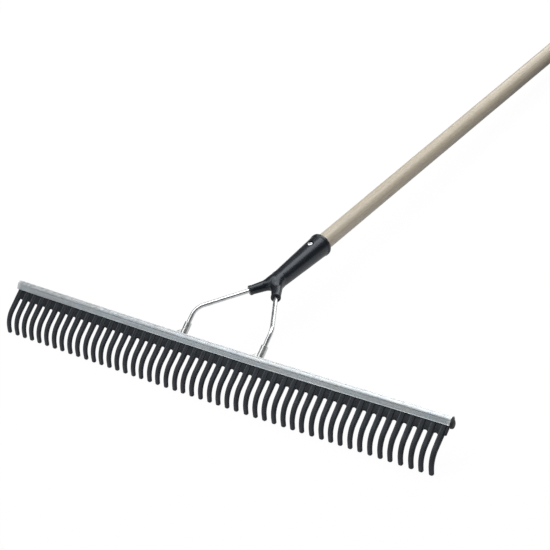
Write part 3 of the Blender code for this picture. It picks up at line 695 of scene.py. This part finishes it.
def buildEndCap():
    e = endCap
    c, s = np.cos(turnsOf(e["sides"])), np.sin(turnsOf(e["sides"]))

    def ringAt(x, y, z):
        return np.stack((np.full(e["sides"], rail["length"] / 2 + x), y, z), 1)

    def disc(x, radius):
        return ringAt(x, radius * c, radius * s)

    def oval(x, share, droop=0.0):
        # a rounded upright oval, a little squarer than an ellipse
        y = e["rearward"] + e["halfWidth"] * share * np.sign(c) * np.abs(c) ** e["square"]
        z = e["middle"] + e["halfHeight"] * share * np.sign(s) * np.abs(s) ** e["square"]
        return ringAt(x, y, z + droop)

    face, back = e["face"], e["face"] - e["spigot"]
    rings = [disc(back, e["spigotRadius"] * 0.9), disc(back + e["spigotBevel"], e["spigotRadius"]),
             disc(face, e["spigotRadius"]), oval(face, 0.965), oval(face + 0.0002, 0.992),
             oval(face + 0.0005, 1.0)]
    start = face + e["flange"]
    for k in range(11):
        # a blunt cone: straight flank, then a rounded end
        step = k / 10
        share = 1 - (1 - e["tip"]) * (0.75 * step + 0.25 * step ** 3)
        out = e["nose"] * (1 - (1 - step) ** 1.25)
        rings.append(oval(start + out, share, e["droop"] * step))
    for share, inward in ((0.26, 0.00002), (0.12, 0.00004)):
        rings.append(oval(start + e["nose"] - inward, share, e["droop"]))
    wear = [0, 0, 0, 0.2, 0.5, 0.5] + [0.15] * 10 + [0.45, 0.3, 0.1]
    points, faces, worn = skin(rings, wear=wear)
    points[:, 2] += stand["wingLift"]
    addPiece("rail_end_plug", (points, faces, worn), headPlace, "cap_rubber", 45, "rail_end_cap")
    print("end plug built")


buildEndCap()

# brackets: a plate behind the rail with an eye rolled at its top
bracket = {
    "xs": {"left": -0.06671, "right": 0.06671}, "plateFront": 0.0061, "plateThickness": 0.0015,
    "left": 0.0185, "right": 0.0125, "below": 0.0060, "corner": 0.0030, "bevel": 0.00028,
    "wall": -0.00415, "crest": 0.0058, "step": 0.0008, "reach": 0.0145, "rise": 0.0065, "swell": 0.001,
    "eyeRadius": 0.0050, "bore": 0.0034, "eyeFoot": 0.0061, "eyeLength": 0.0180, "eyeBevel": 0.00025,
    "seam": 9.0,
}


def arcPoints(cx, cy, radius, start, end, steps):
    turns = np.linspace(math.radians(start), math.radians(end), steps + 1)
    return [(cx + radius * math.cos(t), cy + radius * math.sin(t)) for t in turns]


def plateOutline():
    b = bracket
    top, wall, corner = b["crest"] - b["step"], b["wall"], b["corner"]
    outline = arcPoints(-b["left"] + corner, -b["below"] + corner, corner, 180, 270, 6)
    outline += arcPoints(b["right"] - corner, -b["below"] + corner, corner, 270, 360, 6)
    outline += arcPoints(b["right"] - corner, top - corner, corner, 0, 90, 6)
    outline.append((wall, top))
    # the shoulder slopes down from the eye, a little swelled
    first, last = Vector((wall, b["crest"] + b["rise"])), Vector((-b["reach"], b["crest"]))
    across = Vector((first.y - last.y, last.x - first.x)).normalized() * -1
    for i in range(9):
        share = i / 8
        point = first.lerp(last, share) + across * 4 * b["swell"] * share * (1 - share)
        outline.append((point.x, point.y))
    outline.append((-b["left"], top - corner))
    return outline


def buildBracket(label):
    b = bracket
    x0, front, thick, bevel = b["xs"][label], b["plateFront"], b["plateThickness"], b["bevel"]
    outline = plateOutline()
    rings, wear = [], []
    for y, inset in ((0, bevel), (bevel * 0.3, bevel * 0.3), (bevel, 0), (thick - bevel, 0),
                     (thick - bevel * 0.3, bevel * 0.3), (thick, bevel)):
        ring = []
        for i, (px, pz) in enumerate(outline):
            before, after = Vector(outline[i - 1]), Vector(outline[(i + 1) % len(outline)])
            way = (after - before).normalized()
            ring.append((x0 + px - way.y * inset, front + y, pz + way.x * inset))
        rings.append(ring)
        wear.append(0.7 if inset else 0.25)
    plate = skin(rings, wear=wear)
    # the eye: sheet rolled round the rod, open along a seam at the rear
    axisY, length, edge = front + thick / 2, b["eyeLength"], b["eyeBevel"]
    outer = arcPoints(0, 0, b["eyeRadius"], 90 + b["seam"], 450 - b["seam"], 36)
    inner = arcPoints(0, 0, b["bore"], 450 - b["seam"], 90 + b["seam"], 36)
    rings, wear = [], []
    for z, cut in ((0, edge), (0.0003, 0), (length * 0.3, 0), (length * 0.7, 0),
                   (length - 0.0003, 0), (length, edge)):
        ring = []
        for points, inward in ((outer, cut), (inner, -cut)):
            for px, py in points:
                radius = math.hypot(px, py)
                ring.append((x0 + px * (radius - inward) / radius, axisY + py * (radius - inward) / radius,
                             b["eyeFoot"] + z))
        rings.append(ring)
        wear.append(0.8 if cut else 0.1)
    name = "bracket_" + label
    addPiece(name + "_steel", joined([plate, skin(rings, wear=wear)]), headPlace, "bracket_steel", 35, name)


for label in ("left", "right"):
    buildBracket(label)
print("brackets built")

rivet = {
    "offsets": {"a": -0.0125, "b": 0.0065}, "seat": 0.0079, "headRadius": 0.0033, "headHeight": 0.0016,
    "headFlat": 0.0012, "brim": 0.0002, "shank": 0.0016, "tail": 0.0022, "tailStart": 0.0042,
    "tailLength": 0.0011, "sides": 32,
}


def buildRivets():
    r = rivet
    seat, start, length, top = r["seat"], r["tailStart"], r["tailLength"], r["seat"] + r["headHeight"]
    profile = [(0.0003, start - length), (r["tail"] * 0.8, start - length), (r["tail"], start - length * 0.6),
               (r["tail"], start), (r["shank"], start), (r["shank"], seat), (r["headRadius"], seat)]
    for k in range(8):
        turn = 0.5 * math.pi * k / 8
        profile.append((r["headFlat"] + (r["headRadius"] - r["headFlat"]) * math.cos(turn),
                        seat + r["brim"] + (r["headHeight"] - r["brim"]) * math.sin(turn)))
    # the pulled pin sits in a small well
    profile += [(0.0010, top - 0.0004), (0.0009, top - 0.0005),
                (0.0007, top - 0.0003), (0.0002, top - 0.0002)]
    wear = [0.0] * 7 + [0.3] * 8 + [0.1] * 4
    for label, x0 in bracket["xs"].items():
        for end, offset in r["offsets"].items():
            rings = latheRings(profile, r["sides"], "y")
            rings[:, :, 0] += x0 + offset
            name = "rivet_" + label + "_" + end
            addPiece(name + "_pin", skin(rings, wear=wear), headPlace, "bright_zinc", 30, name)
    print("rivets built")


buildRivets()

# the two bent rods, which flatten a little in the bend
rods = {
    "radius": 0.0032, "splay": math.radians(32.4), "reach": 0.1245, "innerEnd": 0.0140, "drop": 0.0015,
    "bendRadius": {"left": 0.0290, "right": 0.0190}, "pitch": math.radians(36), "below": 0.0473 - 0.0064,
    "widen": 0.02, "flatten": 0.035, "bendWear": 0.5, "endShare": 0.86, "sides": 48,
}


def buildRod(label, side):
    r = rods
    corner = Vector((side * r["reach"] * math.sin(r["splay"]), -r["reach"] * math.cos(r["splay"]),
                     -r["drop"]))
    outward = Vector((side * math.sin(r["splay"]), -math.cos(r["splay"]), 0))
    down = Vector((0, -math.cos(r["pitch"]), -math.sin(r["pitch"])))
    turn = outward.angle(down)
    bend = r["bendRadius"][label]
    setback = bend * math.tan(turn / 2)
    centre = (down - outward).normalized() * (bend / math.cos(turn / 2))
    first = -outward * setback - centre
    axis = outward.cross(down).normalized()
    straight = r["reach"] - r["innerEnd"]
    line = [-outward * (straight - t) for t in np.linspace(0, straight - setback - 0.002, 8)]
    squash = [0.0] * len(line)
    for i in range(17):
        line.append(centre + Matrix.Rotation(turn * i / 16, 3, axis) @ first)
        squash.append(math.sin(math.pi * i / 16))
    for t in (*np.linspace(setback + 0.003, r["below"] - 0.0004, 5), r["below"]):
        line.append(down * t)
        squash.append(0.0)
    rings, last = [], len(line) - 1
    for i, point in enumerate(line):
        way = (line[min(i + 1, last)] - line[max(i - 1, 0)]).normalized()
        flat = way.cross(axis).normalized()
        radius = r["radius"] * (r["endShare"] if i in (0, last) else 1)
        rings.append([corner + point + axis * (radius * (1 + r["widen"] * squash[i]) * math.cos(a))
                      + flat * (radius * (1 - r["flatten"] * squash[i]) * math.sin(a))
                      for a in 2 * np.pi * np.arange(r["sides"]) / r["sides"]])
    name, wear = "fork_rod_" + label, [r["bendWear"] * s for s in squash]
    addPiece(name + "_wire", skin(rings, wear=wear), forkPlace, "bright_zinc", 40, name)


buildRod("left", -1)
buildRod("right", 1)
print("rods built")

# the round handle; turned wood is never quite round
handle = {
    "foot": 0.0140, "footRadius": 0.0098, "taperEnd": 0.0560, "neckRadius": 0.0125, "neck": 0.1200,
    "full": 0.9000, "radius": 0.0139, "length": 1.4999, "rounding": 0.0060, "endFlat": 0.0030,
    "oval": 0.00006, "ripple": 0.00004, "endWear": 0.75, "rimWear": 0.25, "rimAt": 0.110, "sides": 72,
}


def buildHandle():
    h = handle
    end = h["foot"] + h["length"]
    profile = [(h["footRadius"] - 0.0004, h["foot"]), (h["footRadius"], h["foot"] + 0.0005),
               (h["neckRadius"], h["taperEnd"]), (h["neckRadius"], h["neck"])]
    for y in np.linspace(h["neck"], h["full"], 34)[1:]:
        share = (y - h["neck"]) / (h["full"] - h["neck"])
        profile.append((h["neckRadius"] + (h["radius"] - h["neckRadius"]) * share, y))
    profile += [(h["radius"], y) for y in np.linspace(h["full"], end - h["rounding"], 26)[1:]]
    for k in range(1, 11):
        turn = 0.5 * math.pi * k / 10
        profile.append((h["radius"] - h["rounding"] * (1 - math.cos(turn)),
                        end - h["rounding"] * (1 - math.sin(turn))))
    profile.append((h["endFlat"], end))
    rings = latheRings(profile, h["sides"], "y")
    turns = turnsOf(h["sides"])
    wear = []
    for ring, (_, y) in zip(rings, profile):
        if y <= end - h["rounding"]:
            # take a little off, never add
            shave = h["oval"] * (1 + np.sin(2 * turns + y * 6.0))
            shave += h["ripple"] * (1 + np.sin(y * 41 + 3 * turns))
            ring[:, 0::2] *= (1 - shave / h["radius"])[:, None]
        atEnd, atRim = (math.exp(-((y - middle) / 0.004) ** 2) for middle in (end - 0.004, h["rimAt"]))
        wear.append(h["endWear"] * atEnd + h["rimWear"] * atRim)
    addPiece("handle_wood", skin(rings, wear=wear), forkPlace, "ash_wood", 50, "handle")
    print("handle built")


buildHandle()

# the forked socket, one moulding blended from a cone, two sleeves and a flat crotch
socket = {
    "rim": 0.1080, "rimRadius": 0.01774, "rimWidth": 0.0050, "lip": 0.0008, "wellRadius": 0.0128,
    "topRadius": 0.0170, "foot": 0.0040, "footRadius": 0.0123, "nose": 0.0145,
    "sleeveReach": 0.0434, "sleeveRoot": 0.0085, "sleeveRadius": 0.0068,
    "collarRadius": 0.0072, "collar": 0.0045,
    "crotchFillet": 0.0080, "crotchHalf": 0.0030, "crotchDepth": 0.72, "crotchBlend": 0.0022,
    "blend": 0.0048, "topBlend": 0.0030, "topHeight": 0.0070,
    "screwY": 0.1080 - 0.0256, "recessRadius": 0.0056, "recessBack": 0.0005, "recessDepth": 0.0020,
    "netFrom": (-0.034, -0.046, -0.020), "netTo": (0.034, 0.106, 0.020), "grid": 0.0010,
}
ledge = socket["rim"] - socket["rimWidth"]      # where the rim stands out from the cone


def coneRadius(y):
    s = socket
    return s["footRadius"] + (s["topRadius"] - s["footRadius"]) * (y + s["foot"]) / (ledge + s["foot"])


def blended(a, b, width):
    # smooth union of two distances
    h = np.clip(0.5 + 0.5 * (b - a) / width, 0, 1)
    return b + (a - b) * h - width * h * (1 - h)


def socketField(x, y, z):
    # distance from the moulding's skin, rim and collars left out; less than zero inside
    s = socket
    slope = (s["topRadius"] - s["footRadius"]) / (ledge + s["foot"])
    cone = (np.hypot(x, z) - coneRadius(y)) / math.hypot(1, slope)
    nose = np.sqrt(x ** 2 + z ** 2 + ((y + s["foot"]) * s["footRadius"] / s["nose"]) ** 2)
    body = np.where(y > -s["foot"], cone, (nose - s["footRadius"]) * 0.97)
    zz = z + rods["drop"]
    mouth = s["sleeveReach"] - s["collar"]
    sleeves = []
    for side in (-1, 1):
        ax, ay = side * math.sin(rods["splay"]), -math.cos(rods["splay"])
        along = x * ax + y * ay
        away = np.sqrt((x - along * ax) ** 2 + (y - along * ay) ** 2 + zz ** 2)
        share = np.clip((along - s["sleeveRoot"]) / (mouth - s["sleeveRoot"]), 0, 1)
        sleeve = away - (s["sleeveRoot"] + (s["sleeveRadius"] - s["sleeveRoot"]) * share)
        sleeves.append(np.maximum(np.maximum(sleeve, -along - 0.004), along - (mouth + 0.0006)))
    # crotch web between the sleeves, round on its inner edge
    reach = -(s["sleeveRadius"] + s["crotchFillet"]) / math.sin(rods["splay"])
    flatDistance = np.abs(zz) - s["crotchHalf"]
    roundEdge = s["crotchFillet"] - np.hypot(x, y - reach)
    sideLine = np.abs(x) * math.cos(rods["splay"]) + y * math.sin(rods["splay"])
    crotch = np.maximum(flatDistance, roundEdge)
    crotch = np.maximum(crotch, np.maximum(sideLine, reach * s["crotchDepth"] - y))
    crotch = np.maximum(crotch, y)
    legs = blended(np.minimum(*sleeves), crotch, s["crotchBlend"])
    # softly blended on top, tighter at the sides
    upper = np.clip(z / s["topHeight"], 0, 1)
    whole = blended(body, legs, s["blend"] + s["topBlend"] * upper * upper * (3 - 2 * upper))
    return np.maximum(whole, y - (ledge + 0.0004))


def surfaceNet(field, low, high, step):
    # quads through the cells that the surface crosses
    axes = [np.arange(a, b + step, step) for a, b in zip(low, high)]
    values = field(*np.meshgrid(*axes, indexing="ij"))
    inside = values < 0
    shape = [n - 1 for n in values.shape]
    total, hits = np.zeros((*shape, 3)), np.zeros(shape)
    for axis in range(3):
        u, v = [a for a in range(3) if a != axis]
        for atU, atV in ((0, 0), (0, 1), (1, 0), (1, 1)):
            first = [slice(0, n) for n in shape]
            first[u] = slice(atU, atU + shape[u])
            first[v] = slice(atV, atV + shape[v])
            second = list(first)
            second[axis] = slice(1, 1 + shape[axis])
            va, vb = values[tuple(first)], values[tuple(second)]
            cross = (va < 0) != (vb < 0)
            share = np.where(cross, va / np.where(cross, va - vb, 1), 0)
            total[..., axis] += share * cross
            total[..., u] += atU * cross
            total[..., v] += atV * cross
            hits += cross
    active = hits > 0
    number = -np.ones(shape, int)
    number[active] = np.arange(active.sum())
    cells = np.argwhere(active)
    points = np.array(low) + (cells + total[active] / hits[active][:, None]) * step
    faces = []
    for axis in range(3):
        u, v = [a for a in range(3) if a != axis]
        first = [slice(1, n) for n in shape]
        first[axis] = slice(0, shape[axis])
        second = list(first)
        second[axis] = slice(1, shape[axis] + 1)
        edges = np.argwhere(inside[tuple(first)] != inside[tuple(second)])
        edges[:, [u, v]] += 1
        quad = []
        for du, dv in ((0, 0), (1, 0), (1, 1), (0, 1)):
            cell = edges.copy()
            cell[:, u] -= du
            cell[:, v] -= dv
            quad.append(number[cell[:, 0], cell[:, 1], cell[:, 2]])
        faces += [tuple(int(i) for i in q) for q in np.stack(quad, 1)]
    return points, faces


def settle(points, field, rounds, h=0.0002):
    # move each point onto the surface along the field's slope
    for _ in range(rounds):
        x, y, z = points.T
        slope = np.stack((field(x + h, y, z) - field(x - h, y, z), field(x, y + h, z) - field(x, y - h, z),
                          field(x, y, z + h) - field(x, y, z - h)), 1) / (2 * h)
        points = points - slope * (field(x, y, z) / np.maximum((slope ** 2).sum(1), 0.2))[:, None]
    return points


def rimShell():
    # turned ring with a rolled edge and the mouth of the well
    rim, lip, edge, well = socket["rim"], socket["lip"], socket["rimRadius"], socket["wellRadius"]
    low = ledge - 0.0004
    profile = [(socket["topRadius"] - 0.0020, low), (coneRadius(low), low),
               (edge - 0.0004, ledge + lip * 0.3), (edge - 0.0001, ledge + lip * 0.8),
               (edge, ledge + lip * 1.6), (edge, rim - lip * 1.2), (edge - 0.00012, rim - lip * 0.6),
               (edge - 0.0004, rim - lip * 0.2), (edge - 0.0008, rim), (well + 0.0006, rim),
               (well + 0.0001, rim - 0.0004), (well, rim - 0.0030)]
    wear = [0, 0, 0.1, 0.25, 0.3, 0.3, 0.5, 0.7, 0.6, 0.2, 0, 0]
    return skin(latheRings(profile, 96, "y"), capped=False, wear=wear)


def collarShell(side):
    # the mouth of a sleeve, with a thicker edge
    edge, sleeve, rod = socket["collarRadius"], socket["sleeveRadius"], rods["radius"]
    mouth, start = socket["sleeveReach"], socket["sleeveReach"] - socket["collar"]
    profile = [(sleeve - 0.0015, start), (sleeve - 0.0001, start - 0.0001), (edge - 0.0001, start + 0.0004),
               (edge, start + 0.0008), (edge, mouth - 0.0010), (edge - 0.00015, mouth - 0.0004),
               (edge - 0.0006, mouth), (rod + 0.0007, mouth), (rod + 0.0002, mouth - 0.0004),
               (rod + 0.0002, mouth - 0.0030)]
    rings = latheRings(profile, 48, "y")
    rings[:, :, 1] *= -1
    turn = np.array(Matrix.Rotation(side * rods["splay"], 3, "Z"))
    rings = rings @ turn.T + np.array((0, 0, -rods["drop"]))
    return skin(rings, capped=False, wear=[0, 0, 0.2, 0.3, 0.3, 0.6, 0.7, 0.3, 0, 0])


def buildSocket():
    s = socket
    points, faces = surfaceNet(socketField, s["netFrom"], s["netTo"], s["grid"])
    points = settle(points, socketField, 4)
    shells = [(points, faces, np.zeros(len(points))), rimShell(), collarShell(-1), collarShell(1)]
    piece = addPiece("fork_socket_moulding", joined(shells), forkPlace, "socket_plastic", 45, "fork_socket")
    # the screw's recess is cut round and flat into the cone
    seat = coneRadius(s["screwY"]) - s["recessDepth"]
    profile = [(s["recessRadius"], seat), (s["recessRadius"], s["rimRadius"] + 0.004)]
    rings = latheRings(profile, 48, "z")
    rings[:, :, 1] += s["screwY"] + s["recessBack"]
    points, faces, _ = skin(rings)
    cutter = newObject("recess_cutter", carried(points, forkPlace), faces)
    cut = piece.modifiers.new("recess", "BOOLEAN")
    cut.operation, cut.solver, cut.object = "DIFFERENCE", "FAST", cutter
    graph = bpy.context.evaluated_depsgraph_get()
    piece.data = bpy.data.meshes.new_from_object(piece.evaluated_get(graph))
    piece.modifiers.clear()
    bpy.data.objects.remove(cutter)
    print("socket built,", len(piece.data.vertices), "points")


buildSocket()

# the screw: a domed head with a cross recess
screw = {
    "radius": 0.0020, "length": 0.0150, "lift": 0.0003, "headRadius": 0.0041, "headHeight": 0.0020,
    "side": 0.40, "shoulder": 0.50, "flat": 0.92, "dome": 0.08,      # shares of the head's height
    "armWidth": 0.0006, "armReach": 0.0018, "armDepth": 0.0007, "armEdge": 0.00028, "spin": 20.0, "sides": 64,
}


def buildScrew():
    w = screw
    seat = coneRadius(socket["screwY"]) - socket["recessDepth"] + w["lift"]
    shank, head, height = w["radius"], w["headRadius"], w["headHeight"]
    side = seat + height * w["side"]
    profile = [(0.0002, seat - w["length"]), (shank * 0.8, seat - w["length"] + 0.0024),
               (shank * 0.86, seat - 0.0004), (shank, seat), (head - 0.0001, seat),
               (head, seat + 0.00015), (head, side)]
    for k in range(1, 7):
        turn = 0.5 * math.pi * k / 7
        profile.append((head - 0.0016 * (1 - math.cos(turn)), side + height * w["shoulder"] * math.sin(turn)))
    for radius in np.linspace(head - 0.0015, 0.00004, 22):
        profile.append((radius, seat + height * (w["flat"] + w["dome"] * (1 - (radius / head) ** 2))))
    rings = latheRings(profile, w["sides"], "z")
    # the recess is pressed into the dome, its walls sloping in
    x, y, z = np.moveaxis(rings, 2, 0)
    spin = math.radians(w["spin"])
    u, v = x * math.cos(spin) + y * math.sin(spin), -x * math.sin(spin) + y * math.cos(spin)
    arms = [np.maximum(np.abs(a) - w["armWidth"] / 2, 0) + np.maximum(np.abs(b) - w["armReach"], 0) * 3
            for a, b in ((u, v), (v, u))]
    sink = w["armDepth"] * (1 - np.clip(np.minimum(*arms) / w["armEdge"], 0, 1))
    sink *= 1 - np.hypot(u, v) / 0.0034 * 0.6
    rings[:, :, 2] -= np.where(z > seat + height * 0.91, sink, 0)
    rings[:, :, 1] += socket["screwY"]
    wear = [0.0] * 4 + [0.3] * (len(profile) - 4)
    addPiece("socket_screw_head", skin(rings, wear=wear), forkPlace, "bright_zinc", 35, "socket_screw")
    print("screw built")


buildScrew()

# a pale floor, four soft lights, and a black card that keeps the handle's far side in shade
studio = {
    "floorSize": 16.0, "floor": (0.035, 0.035, 0.035), "floorGlow": 0.968,
    "floorUnseen": (0.66, 0.66, 0.66), "floorBehind": (0.05, 0.05, 0.05), "darkens": (-0.45, 0.45),
    "frontGlow": 0.45, "glowFades": (-1.5, -0.8), "mirrorGlow": 0.16,
    "world": (0.06, 0.062, 0.066), "worldMirrored": (0.14, 0.143, 0.147), "worldSeen": (1.0, 1.0, 1.0),
    "card": {"x": 0.30, "near": (0.10, 0.0), "far": (1.25, 0.85), "colour": (0.01, 0.01, 0.01)},
    "lights": {
        "overhead": {"at": (0.46, 1.05, 2.4), "aim": (0.46, 1.051, 0.0), "size": (2.1, 3.2), "power": 68.0},
        "behind": {"at": (-0.75, 3.4, 1.15), "aim": (-0.75, 0.0, 0.6), "size": (3.7, 1.9), "power": 66.0},
        "left": {"at": (-0.9, -0.85, 2.1), "aim": (-0.6, -0.851, 0.0), "size": (2.7, 1.3), "power": 28.0},
        "frontLeft": {"at": (-1.95, -3.08, 1.7), "aim": (0.0, -0.8, 0.06), "size": (2.0, 1.6), "power": 8.0},
    },
}


def floorMaterial():
    material = newMaterial("paleFloor")
    tree = material.node_tree
    rays = newNode(tree, "ShaderNodeLightPath").outputs
    seen = rays["Is Camera Ray"]
    # what the rake mirrors of the floor is bright in front of it and falls off behind
    place = newNode(tree, "ShaderNodeTexCoord").outputs["Object"]
    along = newNode(tree, "ShaderNodeSeparateXYZ", {0: place}).outputs["Y"]
    behind = spanned(tree, along, *studio["darkens"], 0.0, 1.0)
    unseen = mixColour(tree, behind, studio["floorUnseen"], studio["floorBehind"])
    glow = spanned(tree, along, *studio["glowFades"], studio["frontGlow"], 0.0)
    glow = calc(tree, "MAXIMUM", glow, calc(tree, "MULTIPLY", rays["Is Glossy Ray"], studio["mirrorGlow"]))
    glow = calc(tree, "MULTIPLY", glow, calc(tree, "SUBTRACT", 1.0, seen))
    return finished(material, {
        "Base Color": mixColour(tree, seen, unseen, studio["floor"]),
        "Emission Strength": calc(tree, "MULTIPLY_ADD", seen, studio["floorGlow"], glow),
        "Emission Color": (1, 1, 1, 1), "Roughness": 1.0, "Specular IOR Level": 0.0})


def buildFloorAndCard():
    half = studio["floorSize"] / 2
    points = [(-half, -half, 0), (half, -half, 0), (half, half, 0), (-half, half, 0)]
    newObject("floor", points, [(0, 1, 2, 3)], floorMaterial())
    black = newMaterial("blackCard")
    finished(black, {"Base Color": (*studio["card"]["colour"], 1), "Roughness": 1.0})
    x, (nearY, lowZ), (farY, highZ) = [studio["card"][key] for key in ("x", "near", "far")]
    points = [(x, nearY, lowZ), (x, farY, lowZ), (x, farY, highZ), (x, nearY, highZ)]
    card = newObject("flag", points, [(0, 1, 2, 3)], black)
    card.visible_camera = False


def buildWorld():
    world = bpy.data.worlds.new("studio")
    world.use_nodes = True
    tree = world.node_tree
    rays = newNode(tree, "ShaderNodeLightPath").outputs
    room = mixColour(tree, rays["Is Glossy Ray"], studio["world"], studio["worldMirrored"])
    room = mixColour(tree, rays["Is Camera Ray"], room, studio["worldSeen"])
    plug(tree.nodes["Background"], {"Color": room})
    bpy.context.scene.world = world


def addLight(name, at, aim, size, power):
    lamp = bpy.data.lights.new(name, "AREA")
    lamp.shape = "RECTANGLE"
    lamp.size, lamp.size_y = size
    lamp.energy = power
    light = bpy.data.objects.new(name, lamp)
    light.location = at
    light.rotation_euler = (Vector(aim) - Vector(at)).to_track_quat("-Z", "Y").to_euler()
    bpy.context.scene.collection.objects.link(light)


buildFloorAndCard()
buildWorld()
for name, values in studio["lights"].items():
    addLight(name, **values)
view = bpy.context.scene.view_settings
view.view_transform = "Standard"
view.look = "None"
print("studio built")

# the photograph's viewpoint, about 2.4 metres from the rake's head
shot = {
    "at": (1.355025, -2.188474, 1.415872), "right": (0.800161, 0.581026, -0.148834),
    "down": (0.223902, -0.519568, -0.824571), "lens": 113.257, "sensor": 36.0, "clip": (0.05, 60.0),
}


def placeCamera():
    right, up = Vector(shot["right"]).normalized(), -Vector(shot["down"]).normalized()
    back = right.cross(up)
    lens = bpy.data.cameras.new("shot")
    lens.lens = shot["lens"]
    lens.sensor_width = shot["sensor"]
    lens.clip_start, lens.clip_end = shot["clip"]
    camera = bpy.data.objects.new("shot", lens)
    camera.matrix_world = Matrix.Translation(shot["at"]) @ Matrix((right, up, back)).transposed().to_4x4()
    bpy.context.scene.collection.objects.link(camera)
    bpy.context.scene.camera = camera
    print("camera placed")


placeCamera()

bpy.context.view_layer.update()
